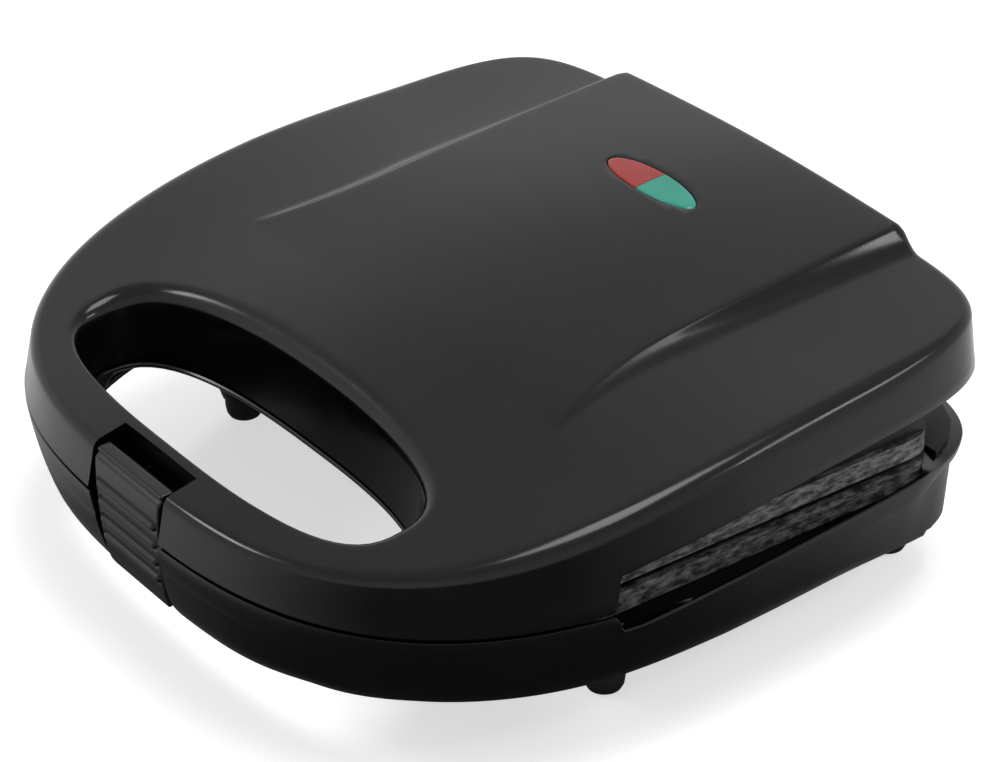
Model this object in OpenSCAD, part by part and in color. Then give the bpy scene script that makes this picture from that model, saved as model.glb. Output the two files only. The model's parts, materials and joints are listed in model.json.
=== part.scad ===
// Two-slice sandwich toaster with a hinged lid, a carrying handle cut through
// both halves and a swinging latch. Millimetres, +Z up. The latch and handle
// face -Y, the hinge is at +Y, and the floor is z = 0.

/* [Outline] */
// Half of the body's width at its widest
half_w = 115; // [110:0.5:120]
// From the middle to the front of the body
front_d = 112; // [109:0.5:115]
// From the middle to the rear wall
rear_d = 97; // [94:0.5:100]
// Squareness of the round front
front_n = 2.8; // [2.5:0.1:3.2]
// Squareness of the rear corners
rear_n = 7; // [5:0.5:9]
// How far the sides draw in over the first 100 mm behind the middle
side_taper = 8.9; // [6:0.1:12]

/* [Heights] */
// Where lid and base meet at the front
part_z = 43; // [42:0.5:44]
// Height of the gap between lid and base
seam = 0.8; // [0.4:0.1:1.2]
// Underside of the base
floor_z = 12; // [11:0.5:13]
// Height of the lid's rim at the front
rim_front_z = 54.8; // [54:0.2:56]
// How much the lid's rim rises towards the rear
rim_rise = 20.2; // [18:0.2:22]
// Height of the lid's middle at the front
crown_front_z = 55.5; // [55:0.5:57]
// How much the lid's middle rises towards the rear
crown_rise = 29.5; // [27:0.5:31]
// Height of the raised panel's step at the rear edge
step_rear = 5.5; // [4:0.25:7]
// Half of the raised panel's width
panel_half_w = 60; // [55:1:65]
// Wall thickness of the mouldings
wall = 2.5; // [2:0.1:3]

/* [Side gap] */
// Where the open side gap starts
gap_start_y = -38; // [-42:1:-34]
// Lid's lower edge at the start of the gap
lid_gap_z = 53; // [51:0.5:55]
// How much that edge rises towards the rear
lid_gap_rise = 6.5; // [4:0.5:7]
// Base's upper edge along the gap
base_gap_z = 42; // [41:0.5:42.5]
// How much lower that edge is at the start of the gap
base_gap_dip = 4; // [2:0.5:5]
// How far the base's rear rim stands out
rear_lip = 2.6; // [2:0.2:3]

/* [Handle opening] */
// Middle of the handle opening
grip_y = -74; // [-76:0.5:-72]
// Half length of the opening at the seam
grip_half_x = 66.5; // [62:0.5:70]
// Half depth of the opening at the seam
grip_half_y = 20.3; // [19:0.1:21]
// How much the opening grows towards the lid's top, each side
grip_flare = 1.08; // [1.02:0.01:1.1]
// Squareness of the opening
grip_n = 2.6; // [2.2:0.1:3]

/* [Plates] */
// Half of the cooking plates' width
plate_half_w = 106; // [104:0.5:107]
// Front edge of the plates
plate_front_y = -47.5; // [-48:0.5:-46]
// Rear edge of the plates
plate_rear_y = 70; // [66:0.5:71]
// Gap between the plates' rims
plate_gap = 2.8; // [2:0.2:3.4]
// Thickness of the plates' rims
plate_rim_t = 5.6; // [5:0.2:6]
// Depth of the sandwich pockets
pocket_d = 9; // [7:0.5:9]
// Width of the ridge that cuts the sandwich
ridge_w = 5; // [4:0.5:7]

/* [Hinge] */
// Height of the hinge's axis
hinge_z = 50; // [49.5:0.25:50.5]
// Hinge axis behind the middle
hinge_y = 95; // [94.5:0.25:95.5]
// Radius of the hinge pins
pin_r = 2; // [1.8:0.1:2.2]
// Running clearance of the hinge pins
pin_clear = 0.05; // [0.03:0.01:0.08]
// Radius of the hinge knuckles
knuckle_r = 5.5; // [5:0.1:5.8]

/* [Latch] */
// Half width of the latch at the top
latch_half_w = 15.6; // [15:0.1:16]
// Half width of the latch at the bottom
latch_low_half_w = 11.6; // [11:0.1:12.5]
// Half width of the notch that it hangs in
notch_half_w = 17.3; // [17.3:0.1:17.8]
// Rear edge of the notch
notch_y = -98.4; // [-98.6:0.1:-98.2]
// Latch pivot behind the middle
latch_y = -103; // [-103.2:0.1:-102.8]
// Height of the latch pivot
latch_z = 49.5; // [49.3:0.1:49.7]
// Radius of the latch pin
latch_pin_r = 1.5; // [1.4:0.1:1.6]
// Number of grip ribs on the latch
rib_count = 4; // [3:1:5]

/* [Indicator lamps] */
// Half length of the oval window
lens_half_x = 18.4; // [16:0.2:20]
// Half width of the oval window
lens_half_y = 5.2; // [4.5:0.1:6]
// Middle of the window behind the middle
lens_y = 58.9; // [56:0.5:61]

/* [Feet and inlet] */
// Feet left and right of the middle
foot_x = 85.5; // [83:0.5:87]
// Front feet behind the middle
foot_front_y = -23; // [-26:1:-20]
// Rear feet behind the middle
foot_rear_y = 76; // [72:1:78]
// Height of a foot
foot_h = 7; // [6:0.5:8]
// Radius of the cord inlet's hole
inlet_r = 3.6; // [3.2:0.1:4]
// Height of the cord inlet
inlet_z = 26; // [25.5:0.5:26.5]

/* [Hidden] */

base_top = part_z - seam / 2;
lid_low = part_z + seam / 2;
segs = 84;
eps = 0.01;
fit_gap = 0.3;

// Plate heights, mirrored about the middle of the gap between the plates.
mid_z = 45;
low_rim_z = mid_z - plate_gap / 2;
up_rim_z = mid_z + plate_gap / 2;
plate_back = 2.2;
plate_t = pocket_d + plate_back;
low_back_z = low_rim_z - plate_t;
up_back_z = up_rim_z + plate_t;
body_inset = 9;
low_deck = [27.6, 29.8];
up_deck = [60.2, 62.4];
cover_t = 2.5;
skirt_x = [101.5, 104];
deck_open_x = 98;
deck_open_y = 62;
riser_y = [-50.7, -48.5];
rear_cover_y = 72.2;
front_screw = [88, -66];
rear_screw = [80, 80];
plate_screw_y = [-36.5, 57];
heater_r = 3.3;
low_heat_z = low_back_z - heater_r;
up_heat_z = up_back_z + heater_r;
lug_w = 8;
ear_w = 11.2;
ear_x = 44;
side_play = 0.4;
pin_len = ear_w + 2 * lug_w + 2 * side_play;

// Moves the whole object so that the origin is under the middle of its box.
rib_stand = 0.7;
latch_front = 111.6;
frame_shift = (latch_front + rib_stand - hinge_y - knuckle_r) / 2;
module placed() translate([0, frame_shift, 0]) children();

black = [0.035, 0.035, 0.04];
dark = [0.06, 0.06, 0.065];
casting = [0.20, 0.20, 0.21];
steel = [0.62, 0.62, 0.64];
tin = [0.75, 0.76, 0.78];
rubber = [0.05, 0.05, 0.05];

function clamp01(v) = min(1, max(0, v));
function ease(v) = let(c = clamp01(v)) c * c * (3 - 2 * c);

// Half width of the body at a depth y, before the corners are rounded.
function side_w(y) = half_w - (y > 0 ? side_taper * 0.44 * y / 100 + side_taper * 0.56 * pow(y / 100, 2) : 0);
function round_r(a, b, n, t) = pow(pow(abs(cos(t)) / a, n) + pow(abs(sin(t)) / b, n), -1 / n);
function outline_r(t) = sin(t) < 0 ? round_r(half_w, front_d, front_n, t)
    : round_r(side_w(round_r(half_w, rear_d, rear_n, t) * sin(t)), rear_d, rear_n, t);
function outline_at(t) = outline_r(t) * [cos(t), sin(t)];
function unit(v) = v / norm(v);
// A point of the outline, moved inwards square to it.
function outline(t, inset) = let(d = unit(outline_at(t + 0.4) - outline_at(t - 0.4)))
    outline_at(t) + inset * [-d[1], d[0]];
function outline_pts(inset, n = segs) = [for (i = [0:n - 1]) outline(360 * i / n, inset)];

// The handle opening's outline, scaled about its middle, and grown by out.
function grip_at(t, k, out) = let(r = round_r(grip_half_x * k + out, grip_half_y * k + out, grip_n, t))
    [r * cos(t), grip_y + r * sin(t)];
function grip_pts(k, out, n) = [for (i = [0:n - 1]) grip_at(360 * i / n, k, out)];
// How far a point lies outside the handle opening, negative inside it.
function grip_gap(p) = let(q = [p[0], p[1] - grip_y],
    k = pow(pow(abs(q[0]) / grip_half_x, grip_n) + pow(abs(q[1]) / grip_half_y, grip_n), 1 / grip_n))
    norm(q) * (1 - 1 / max(k, 0.3));

// Heights of the lid's surface.
rim_run = 150;
crown_run = front_d + 100;
crown_half_w = 108;
step_start = 25;
step_run = rear_d + step_start;
step_w = 7;
rear_lift = 1;
side_fall = 0.5;
function rim_z(y) = rim_front_z + rim_rise * pow(sin(90 * clamp01((y + front_d) / rim_run)), 1.25)
    + rear_lift * pow(max(0, y) / 100, 2);
function crown_z(y) = crown_front_z + crown_rise * sin(90 * clamp01((y + front_d) / crown_run));
function step_h(y) = step_rear * pow(clamp01((y + step_start) / step_run), 0.8);
function top_z(p) = let(x = abs(p[0]), r = rim_z(p[1]), s = step_h(p[1]))
    r + (crown_z(p[1]) - r - s) * pow(1 - pow(min(1, x / crown_half_w), 2), 3.5)
    + s * (1 - ease((x - panel_half_w) / step_w)) - side_fall * pow(x / half_w, 4);

// Lower edge of the lid and upper edge of the base, level at the front and
// parted by the side gap behind gap_start_y.
gap_blend = 5;
gap_run = 96;
gap_peak_y = 60;
dip_run = 76;
dip_peak_y = 45;
function in_gap(y) = ease((y - gap_start_y) / gap_blend + 0.5);
function lid_edge_z(y) = let(g = lid_gap_z
    + lid_gap_rise * (1 - pow(clamp01((gap_peak_y - y) / gap_run), 2)))
    lid_low + (g - lid_low) * in_gap(y);
function base_edge_z(y) = let(g = base_gap_z - base_gap_dip * pow(clamp01((dip_peak_y - y) / dip_run), 2))
    base_top + (g - base_top) * in_gap(y);
lid_draft = 3;
rim_round = 1.6;
function lid_inset(z, zr) = lid_draft * clamp01((z - lid_low) / (zr - lid_low));

// Underside of the base: flat, but scooped up behind the handle opening.
scoop_z = 39;
scoop_slope = 1.04;
function scoop(p) = scoop_z - scoop_slope * grip_gap(p) - 1.2 * max(0, grip_y - p[1]);
// How far in the base's side has drawn at each height, from the rim down.
base_side = [[1.1, 35], [2.2, 30], [4.2, 24], [7, 20], [9.7, 17.5], [14, 15.3], [20, 13.2], [28, floor_z]];

module ring_solid(rings, top_mid, bottom_mid) {
    // Skin over closed rings of points, listed from the bottom ring up.
    n = len(rings[0]);
    k = len(rings);
    points = concat([for (r = rings) each r], [top_mid, bottom_mid]);
    sides = [for (j = [0:k - 2], i = [0:n - 1]) let(a = j * n + i, b = j * n + (i + 1) % n)
        each [[a, a + n, b], [b, a + n, b + n]]];
    top = [for (i = [0:n - 1]) [(k - 1) * n + i, k * n, (k - 1) * n + (i + 1) % n]];
    bottom = [for (i = [0:n - 1]) [i, (i + 1) % n, k * n + 1]];
    polyhedron(points = points, faces = concat(sides, top, bottom), convexity = 8);
}

function lift(p, z) = [p[0], p[1], z];

// Solid between a grid of heights and a flat face at z = far.
module height_solid(xs, ys, heights, far) {
    nx = len(xs);
    ny = len(ys);
    n = nx * ny;
    points = concat([for (j = [0:ny - 1], i = [0:nx - 1]) [xs[i], ys[j], heights[j][i]]],
        [for (j = [0:ny - 1], i = [0:nx - 1]) [xs[i], ys[j], far]]);
    skin = [for (j = [0:ny - 2], i = [0:nx - 2]) let(a = j * nx + i)
        each [[a, a + nx, a + nx + 1], [a, a + nx + 1, a + 1], [n + a, n + a + nx + 1, n + a + nx], [n + a, n + a + 1, n + a + nx + 1]]];
    ends = [for (i = [0:nx - 2]) let(a = i, b = (ny - 1) * nx + i)
        each [[a, a + 1, n + a + 1], [a, n + a + 1, n + a], [b, n + b + 1, b + 1], [b, n + b, n + b + 1]]];
    flanks = [for (j = [0:ny - 2]) let(a = j * nx, b = j * nx + nx - 1)
        each [[a, n + a + nx, a + nx], [a, n + a, n + a + nx], [b, b + nx, n + b + nx], [b, n + b + nx, n + b]]];
    faces = concat(skin, ends, flanks);
    polyhedron(points = points, faces = far < heights[0][0] ? faces : [for (f = faces) [f[0], f[2], f[1]]], convexity = 8);
}

function mirrored(v) = concat([for (k = [len(v) - 1:-1:0]) -v[k]], [0], v);
sky_z = 120;

// Columns and rows of the lid's top, closer together over the panel's step.
lid_xs = mirrored(concat([for (x = [12:12:48]) x], [for (k = [0:0.25:1]) panel_half_w + k * step_w], [for (x = [77:10:117]) x]));
lid_ys = [for (y = [-119.3:8:112.7]) y];

// The rim's chamfer runs on this far above the top's grid, so that the two cross cleanly.
rim_over = 0.3;

module lid_top(drop) height_solid(lid_xs, lid_ys,
    [for (y = lid_ys) [for (x = lid_xs) top_z([x, y]) - drop]], 20);

module lid_outer() intersection() {
    angles = [for (i = [0:segs - 1]) 360 * i / segs];
    edge = [for (t = angles) let(y = outline_at(t)[1], z = lid_edge_z(y))
        lift(outline(t, lid_inset(z, rim_z(y))), z)];
    shoulder = [for (t = angles) let(p = outline(t, lid_draft)) lift(p, top_z(p) - rim_round)];
    rim = [for (t = angles) let(p = outline(t, lid_draft + rim_round)) lift(p, top_z(p) + rim_over)];
    high = [for (t = angles) lift(outline(t, lid_draft + rim_round + 3), sky_z)];
    ring_solid([edge, shoulder, rim, high], [0, 0, sky_z], [0, 0, lid_low + 9]);
    lid_top(0);
}

module lid_core() intersection() {
    angles = [for (i = [0:segs - 1]) 360 * (i + 0.25) / segs];
    low = [for (t = angles) lift(outline(t, wall), lid_low - 5)];
    mid = [for (t = angles) lift(outline(t, wall + 0.2), lid_low)];
    shoulder = [for (t = angles) let(p = outline(t, lid_draft + wall)) lift(p, top_z(p) - wall - rim_round)];
    rim = [for (t = angles) let(p = outline(t, lid_draft + wall + rim_round)) lift(p, top_z(p) - wall + rim_over)];
    high = [for (t = angles) lift(outline(t, lid_draft + wall + rim_round + 3), sky_z)];
    ring_solid([low, mid, shoulder, rim, high], [0, 0, sky_z], [0, 0, lid_low - 5]);
    lid_top(wall);
}

module grip_hole(out, z0, z1, k0, k1) {
    n = 72;
    low = [for (p = grip_pts(k0, out, n)) lift(p, z0)];
    high = [for (p = grip_pts(k1, out, n)) lift(p, z1)];
    ring_solid([low, high], [0, grip_y, z1], [0, grip_y, z0]);
}

module lens_tilt() {
    lens_z = top_z([0, lens_y]);
    slope = atan((top_z([0, lens_y + 5]) - top_z([0, lens_y - 5])) / 10);
    translate([0, lens_y, lens_z]) rotate([slope, 0, 0]) children();
}

module oval(grow, h) {
    linear_extrude(h, center = true)
        polygon([for (i = [0:47]) [(lens_half_x + grow) * cos(i * 7.5), (lens_half_y + grow) * sin(i * 7.5)]]);
}

module boss(at, r, z0, z1) {
    translate([at[0], at[1], z0]) cylinder(r = r, h = z1 - z0, $fn = 24);
}

module four(front, rear) {
    // Places a child at the front and rear pair of points, left and right.
    for (s = [-1, 1]) {
        translate([s * front[0], front[1], 0]) children();
        translate([s * rear[0], rear[1], 0]) children();
    }
}

module lid_shell() color(black) placed() resize([0, 0, 0]) union() {
    difference() {
        lid_outer();
        difference() {
            lid_core();
            grip_hole(wall, lid_low - 6, 90, 1, grip_flare * 1.07);
        }
        grip_hole(0, lid_low - 6, 90, 0.986, grip_flare * 1.071);
        translate([-notch_half_w, -130, 0]) cube([2 * notch_half_w, 130 + notch_y, 90]);
        lens_tilt() oval(0.6, 12);
    }
    // Bosses that take the lid screws
    difference() {
        intersection() {
            union() {
                for (s = [-1, 1]) {
                    boss([s * front_screw[0], front_screw[1]], 4, lid_low + cover_t + 0.2, 70);
                    boss([s * rear_screw[0], rear_screw[1]], 4, up_deck[1], 80);
                }
            }
            lid_outer();
        }
        for (s = [-1, 1]) {
            boss([s * front_screw[0], front_screw[1]], 1.7, lid_low, 54);
            boss([s * rear_screw[0], rear_screw[1]], 1.7, lid_low, 71);
        }
    }
}

scoop_xs = mirrored([for (x = [8:8:120]) x]);
scoop_ys = [for (y = [-122:8:46]) y];

module scoop_solid(rise) height_solid(scoop_xs, scoop_ys,
    [for (y = scoop_ys) [for (x = scoop_xs) scoop([x, y]) + rise]], sky_z);

module rest_of_base() translate([-130, 40, 0]) cube([260, 80, sky_z]);

module base_outer() intersection() {
    angles = [for (i = [0:segs - 1]) 360 * i / segs];
    lip = [for (t = angles) rear_lip * ease((outline_at(t)[1] - 64) / 8)];
    side = [for (k = [len(base_side) - 1:-1:0]) [for (t = angles) lift(outline(t, base_side[k][0]), base_side[k][1])]];
    lip_low = [for (i = [0:segs - 1]) lift(outline(angles[i], 0.8 - lip[i]), 36.4)];
    lip_top = [for (i = [0:segs - 1]) lift(outline(angles[i], -lip[i]), base_edge_z(outline_at(angles[i])[1]))];
    ring_solid(concat(side, [lip_low, lip_top]), [0, 0, base_gap_z - 1], [0, 0, floor_z]);
    union() {
        scoop_solid(0);
        rest_of_base();
    }
}

module base_core() intersection() {
    angles = [for (i = [0:segs - 1]) 360 * (i + 0.5) / segs];
    side = [for (k = [len(base_side) - 1:-1:0]) [for (t = angles)
        lift(outline(t, base_side[k][0] + wall * (k > 4 ? 0.4 : 1)),
            base_side[k][1] + (k > 1 ? wall * min(1, k / 5) : 0))]];
    top = [for (t = angles) lift(outline(t, wall), 50)];
    ring_solid(concat(side, [top]), [0, 0, 50], [0, 0, floor_z + wall]);
    union() {
        scoop_solid(wall * 1.25);
        rest_of_base();
    }
}

module latch_slot_shape() {
    // Front view of the slot that the latch hangs in, wider at the top.
    polygon([[-notch_half_w, 46], [notch_half_w, 46], [notch_half_w - 0.6, 40],
        [latch_low_half_w + 1.9, 12], [-latch_low_half_w - 1.9, 12], [-notch_half_w + 0.6, 40]]);
}

module base_shell() color(black) placed() resize([0, 0, 0]) difference() {
    union() {
        difference() {
            base_outer();
            difference() {
                base_core();
                grip_hole(wall, 5, 60, 1, 1);
                for (s = [-1, 1]) {
                    boss([s * front_screw[0], front_screw[1]], 5.2, 5, base_top - cover_t - 0.2);
                    boss([s * rear_screw[0], rear_screw[1]], 5.2, 5, low_deck[0]);
                }
            }
        }
        four([foot_x, foot_front_y], [foot_x - 5, foot_rear_y])
            translate([0, 0, foot_h]) cylinder(r1 = 6.2, r2 = 8.6, h = 7.7, $fn = 32);
    }
    grip_hole(0, 5, 60, 1, 1);
    translate([0, -101.5, 0]) rotate([90, 0, 0]) linear_extrude(30) latch_slot_shape();
    // Cord inlet's hole
    translate([0, 80, inlet_z]) rotate([-90, 0, 0]) cylinder(r = 6, h = 40, $fn = 40);
    for (s = [-1, 1]) {
        boss([s * front_screw[0], front_screw[1]], 3.6, 5, 34);
        boss([s * front_screw[0], front_screw[1]], 1.8, 5, 50);
        boss([s * rear_screw[0], rear_screw[1]], 3.6, 5, 22);
        boss([s * rear_screw[0], rear_screw[1]], 1.8, 5, 50);
    }
}

// Flat sheet that follows the body's outline between two depths.
module sheet_2d(inset, y0, y1) {
    intersection() {
        polygon(outline_pts(inset));
        translate([-150, y0]) square([300, y1 - y0]);
    }
}

module grip_2d(out) polygon(grip_pts(1, out, 72));

module knuckle(w) {
    // Round hinge knuckle, its web left to the caller.
    rotate([0, 90, 0]) cylinder(r = knuckle_r, h = w, center = true, $fn = 48);
}

module cross_bore(r, w) {
    rotate([0, 90, 0]) cylinder(r = r, h = w, center = true, $fn = 48);
}

module side_profile(pts, w) {
    // Extrudes a profile drawn in y and z along X, about the middle.
    rotate([90, 0, 90]) linear_extrude(w, center = true) polygon(pts);
}

module plate_skirt(z0, z1, y0) {
    for (s = [-1, 1]) {
        translate([s > 0 ? skirt_x[0] : -skirt_x[1], y0, z0])
            cube([skirt_x[1] - skirt_x[0], 67 - y0, z1 - z0]);
    }
    translate([-skirt_x[1], 65, z0]) cube([2 * skirt_x[1], 2, z1 - z0]);
}

module base_frame() color(dark) placed() difference() {
    union() {
        // Cover over the handle and front
        translate([0, 0, base_top - cover_t - 0.2]) linear_extrude(cover_t) difference() {
            sheet_2d(wall + 1.3, -120, riser_y[1]);
            grip_2d(wall + fit_gap);
            translate([-notch_half_w + 0.1, -130]) square([2 * notch_half_w - 0.2, 28.5]);
        }
        // Wall up behind the handle, clear of the scooped underside
        translate([-92.1, riser_y[0], 39]) cube([184.2, riser_y[1] - riser_y[0], base_top - 39.2]);
        for (s = [-1, 1]) translate([s > 0 ? 92 : -skirt_x[1], riser_y[0], low_deck[1]])
            cube([skirt_x[1] - 92, riser_y[1] - riser_y[0], base_top - 0.2 - low_deck[1]]);
        // Deck that carries the plate, at the sides and the rear
        translate([0, 0, low_deck[0]]) linear_extrude(low_deck[1] - low_deck[0]) difference() {
            sheet_2d(wall + 4.2, -30, 93);
            translate([-deck_open_x, -31]) square([2 * deck_open_x, deck_open_y + 31]);
        }
        plate_skirt(low_deck[1] - eps, low_rim_z - plate_rim_t, riser_y[1] - eps);
        // Rear cover between the plate and the hinge
        translate([0, 0, base_top - cover_t - 0.2]) linear_extrude(cover_t) sheet_2d(wall + 1.7, rear_cover_y, 94.2);
        translate([-98, rear_cover_y, low_deck[1] - eps]) cube([196, 2, base_top - low_deck[1] - 0.2]);
        // Post under the plate at the rear, and bracket at the front
        translate([-6, 53, low_deck[0]]) cube([12, deck_open_y - 52.9, low_back_z - low_deck[0]]);
        side_profile([[-50.7, 42.4], [-48.5, 42.4], [-48.5, low_rim_z - plate_rim_t], [-38.6, low_rim_z - plate_rim_t],
            [-38.6, low_back_z], [-33, low_back_z], [-33, 29.9], [-41, 29.9], [-50.7, 39.6]], 12);
        // Bosses for the base screws
        for (s = [-1, 1]) {
            boss([s * rear_screw[0], rear_screw[1]], 4, low_deck[0], 34);
            // Hinge lugs, two on each side
            for (x = [ear_x - (ear_w + lug_w) / 2 - side_play, ear_x + (ear_w + lug_w) / 2 + side_play]) {
                translate([s * x, hinge_y, hinge_z]) knuckle(lug_w);
                translate([s * x, 0, 0]) side_profile([[84, 42], [93.6, 42], [94, 44], [hinge_y, hinge_z - knuckle_r + 0.6],
                    [hinge_y - 1, hinge_z + 4], [hinge_y - 5, hinge_z + 1]], lug_w);
            }
        }
    }
    for (s = [-1, 1]) {
        translate([s * ear_x, hinge_y, hinge_z]) cross_bore(pin_r, pin_len + 20);
        boss([s * front_screw[0], front_screw[1]], 1.5, 30, 41.8);
        boss([s * rear_screw[0], rear_screw[1]], 1.5, 20, 32);
    }
    for (y = plate_screw_y) boss([0, y], 1.5, 28.4, 40);
    // Ways for the wires and the inlet
    translate([-14, 88.8, 30]) cylinder(r = 3.2, h = 20, $fn = 24);
    translate([-8, 79, 27]) cube([16, 20, 5]);
    translate([-22, 84, 20]) cylinder(r = 4, h = 15, $fn = 24);
}

function bay(x0, x1, y0, y1, half) = half == 0
    ? [[x0, y0 + ridge_w * 0.75], [x1 - ridge_w * 0.75, y1], [x0, y1]]
    : [[x0 + ridge_w * 0.75, y0], [x1, y0], [x1, y1 - ridge_w * 0.75]];
function mean(v) = (v[0] + v[1] + v[2]) / 3;

// Frustum over a triangle, narrower at depth d, that melts into a pocket.
module pocket(tri, d) {
    c = mean(tri);
    k = 0.8;
    hull() {
        linear_extrude(0.1) polygon([for (p = tri) c + (p - c) * 1.01]);
        translate([0, 0, d - 0.1]) linear_extrude(0.1) offset(r = 3, $fn = 24)
            polygon([for (p = tri) c + (p - c) * (k - 0.05)]);
    }
}

module rounded_slab(x, y0, y1, r, h) {
    pts = [for (q = [[1, 1], [-1, 1], [-1, -1], [1, -1]], a = [0:15:90])
        let(t = a + (q[0] > 0 ? (q[1] > 0 ? 0 : 270) : (q[1] > 0 ? 90 : 180)))
        [q[0] * (x - r) + r * cos(t), (q[1] > 0 ? y1 - r : y0 + r) + r * sin(t)]];
    linear_extrude(h) polygon(pts);
}

// One cooking plate, cooking side up, its rim's top face at z = 0.
module plate() {
    difference() {
        union() {
            translate([0, 0, -plate_rim_t]) rounded_slab(plate_half_w, plate_front_y, plate_rear_y, 9, plate_rim_t);
            translate([0, 0, -plate_t]) rounded_slab(plate_half_w - body_inset, plate_front_y + body_inset,
                plate_rear_y - body_inset, 12, plate_t - 1);
        }
        for (s = [-1, 1], half = [0, 1]) {
            mirror([s > 0 ? 0 : 1, 0, 0]) mirror([0, 0, 1])
                pocket(bay(5, plate_half_w - 7, plate_front_y + 7, plate_rear_y - 7, half), pocket_d);
        }
        for (y = plate_screw_y) {
            boss([0, y], 1.8, -20, 1);
            boss([0, y], 3.8, -2.6, 1);
        }
    }
}

module lower_plate() color(casting) placed() translate([0, 0, low_rim_z]) plate();
module upper_plate() color(casting) placed() translate([0, 0, up_rim_z]) mirror([0, 0, 1]) plate();

heater_x = 72;
heater_front_y = -17.5;
heater_rear_y = 46;
heater_bend = 14;

// Tubular heater: a U round the plate's back with its ends turned in.
module heater() {
    for (s = [-1, 1]) {
        translate([s * heater_x, heater_front_y + heater_bend, 0]) rotate([-90, 0, 0])
            cylinder(r = heater_r, h = heater_rear_y - heater_front_y - 2 * heater_bend, $fn = 32);
        mirror([s > 0 ? 0 : 1, 0, 0]) {
            translate([heater_x - heater_bend, heater_front_y + heater_bend, 0]) rotate([0, 0, -90])
                rotate_extrude(angle = 90, $fn = 64) translate([heater_bend, 0]) circle(r = heater_r, $fn = 32);
            translate([heater_x - heater_bend, heater_rear_y - heater_bend, 0])
                rotate_extrude(angle = 90, $fn = 64) translate([heater_bend, 0]) circle(r = heater_r, $fn = 32);
            translate([26, heater_rear_y, 0]) rotate([0, 90, 0])
                cylinder(r = heater_r, h = heater_x - heater_bend - 26, $fn = 32);
            // Cold end and its tab
            translate([18, heater_rear_y, 0]) rotate([0, 90, 0]) cylinder(r = 1.5, h = 8.5, $fn = 24);
        }
    }
    translate([-heater_x + heater_bend, heater_front_y, 0]) rotate([0, 90, 0])
        cylinder(r = heater_r, h = 2 * (heater_x - heater_bend), $fn = 32);
}

module lower_heater() color(steel) placed() translate([0, 0, low_heat_z]) heater();
module upper_heater() color(steel) placed() translate([0, 0, up_heat_z]) heater();

// Saddle that presses the heater on to the plate's back at z = 0.
module clamp() {
    difference() {
        translate([-heater_r - 5, -4, -heater_r - 1]) cube([2 * heater_r + 10, 8, 2 * heater_r + 0.99]);
        rotate([90, 0, 0]) cylinder(r = heater_r + eps, h = 20, center = true, $fn = 32);
        translate([-heater_r - eps, -5, -eps]) cube([2 * heater_r + 2 * eps, 10, heater_r + 1]);
    }
}

module heater_clamps() {
    for (s = [-1, 1]) translate([s * heater_x, 12, 0]) clamp();
    for (s = [-1, 1]) translate([s * 36, heater_front_y, 0]) rotate([0, 0, 90]) clamp();
}

module lower_heater_clamps() color(tin) placed() translate([0, 0, low_heat_z]) heater_clamps();
module upper_heater_clamps() color(tin) placed() translate([0, 0, up_heat_z]) mirror([0, 0, 1]) heater_clamps();

reflector_x = 84;
reflector_y = [-27, 50.9];
reflector_t = 0.8;

// Pressed sheet with a turned edge, its flat face at z = 0.
module reflector(lip) {
    difference() {
        translate([-reflector_x, reflector_y[0], 0]) cube([2 * reflector_x, reflector_y[1] - reflector_y[0], lip]);
        translate([-reflector_x + reflector_t, reflector_y[0] + reflector_t, reflector_t])
            cube([2 * (reflector_x - reflector_t), reflector_y[1] - reflector_y[0] - 2 * reflector_t, lip]);
        for (s = [-1, 1]) translate([s * 30, 12, -1]) cylinder(r = 5, h = 4, $fn = 40);
    }
}

clamp_top = heater_r + 1;
low_reflector_gap = 1.2;
up_reflector_gap = 0.6;
low_reflector_z = low_heat_z - clamp_top - low_reflector_gap - reflector_t;
up_reflector_z = up_heat_z + clamp_top + up_reflector_gap + reflector_t;
module lower_reflector() color(tin) placed() {
    translate([0, 0, low_reflector_z]) reflector(3.5);
    // Legs on the base's floor
    for (s = [-1, 1], y = [0, 40]) translate([s * 60 - 4, y, floor_z + wall]) cube([8, 1, low_reflector_z - floor_z - wall + eps]);
}
module upper_reflector() color(tin) placed() {
    translate([0, 0, up_reflector_z]) mirror([0, 0, 1]) reflector(3.5);
    // Tabs to the heater clamps
    for (s = [-1, 1]) translate([s * heater_x - 2, 10, up_heat_z + clamp_top]) cube([4, 4, up_reflector_gap + eps]);
}

module plate_screw() {
    // Pan-head screw, its head's face at z = 0, its shank downwards.
    difference() {
        union() {
            translate([0, 0, -2]) cylinder(r = 3.4, h = 2, $fn = 40);
            translate([0, 0, -14.2]) cylinder(r = 1.45, h = 12.3, $fn = 32);
        }
        for (a = [0, 90]) rotate([0, 0, a]) translate([-2.2, -0.4, -0.9]) cube([4.4, 0.8, 2]);
    }
}
module lower_plate_screws() placed() color(tin)
    for (y = plate_screw_y) translate([0, y, low_rim_z - 0.5]) plate_screw();
module upper_plate_screws() placed() color(tin)
    for (y = plate_screw_y) translate([0, y, up_rim_z + 0.5]) mirror([0, 0, 1]) plate_screw();

module thermostat() color([0.5, 0.45, 0.38]) placed() translate([0, 8, low_back_z]) mirror([0, 0, 1]) {
    // Snap-disc can, its ceramic body and two tabs
    cylinder(r = 8, h = 2.4, $fn = 48);
    translate([0, 0, 2.3]) cylinder(r = 6.6, h = 3.4, $fn = 48);
    for (s = [-1, 1]) translate([s * 8.5 - 2.5, -2, 4.6]) cube([5, 4, 0.8]);
}

module thermal_fuse() color([0.85, 0.85, 0.8]) placed() translate([0, 28, low_back_z - 2.3]) rotate([0, 90, 0]) {
    cylinder(r = 2.3, h = 15, center = true, $fn = 32);
    cylinder(r = 0.8, h = 30, center = true, $fn = 16);
}

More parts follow.
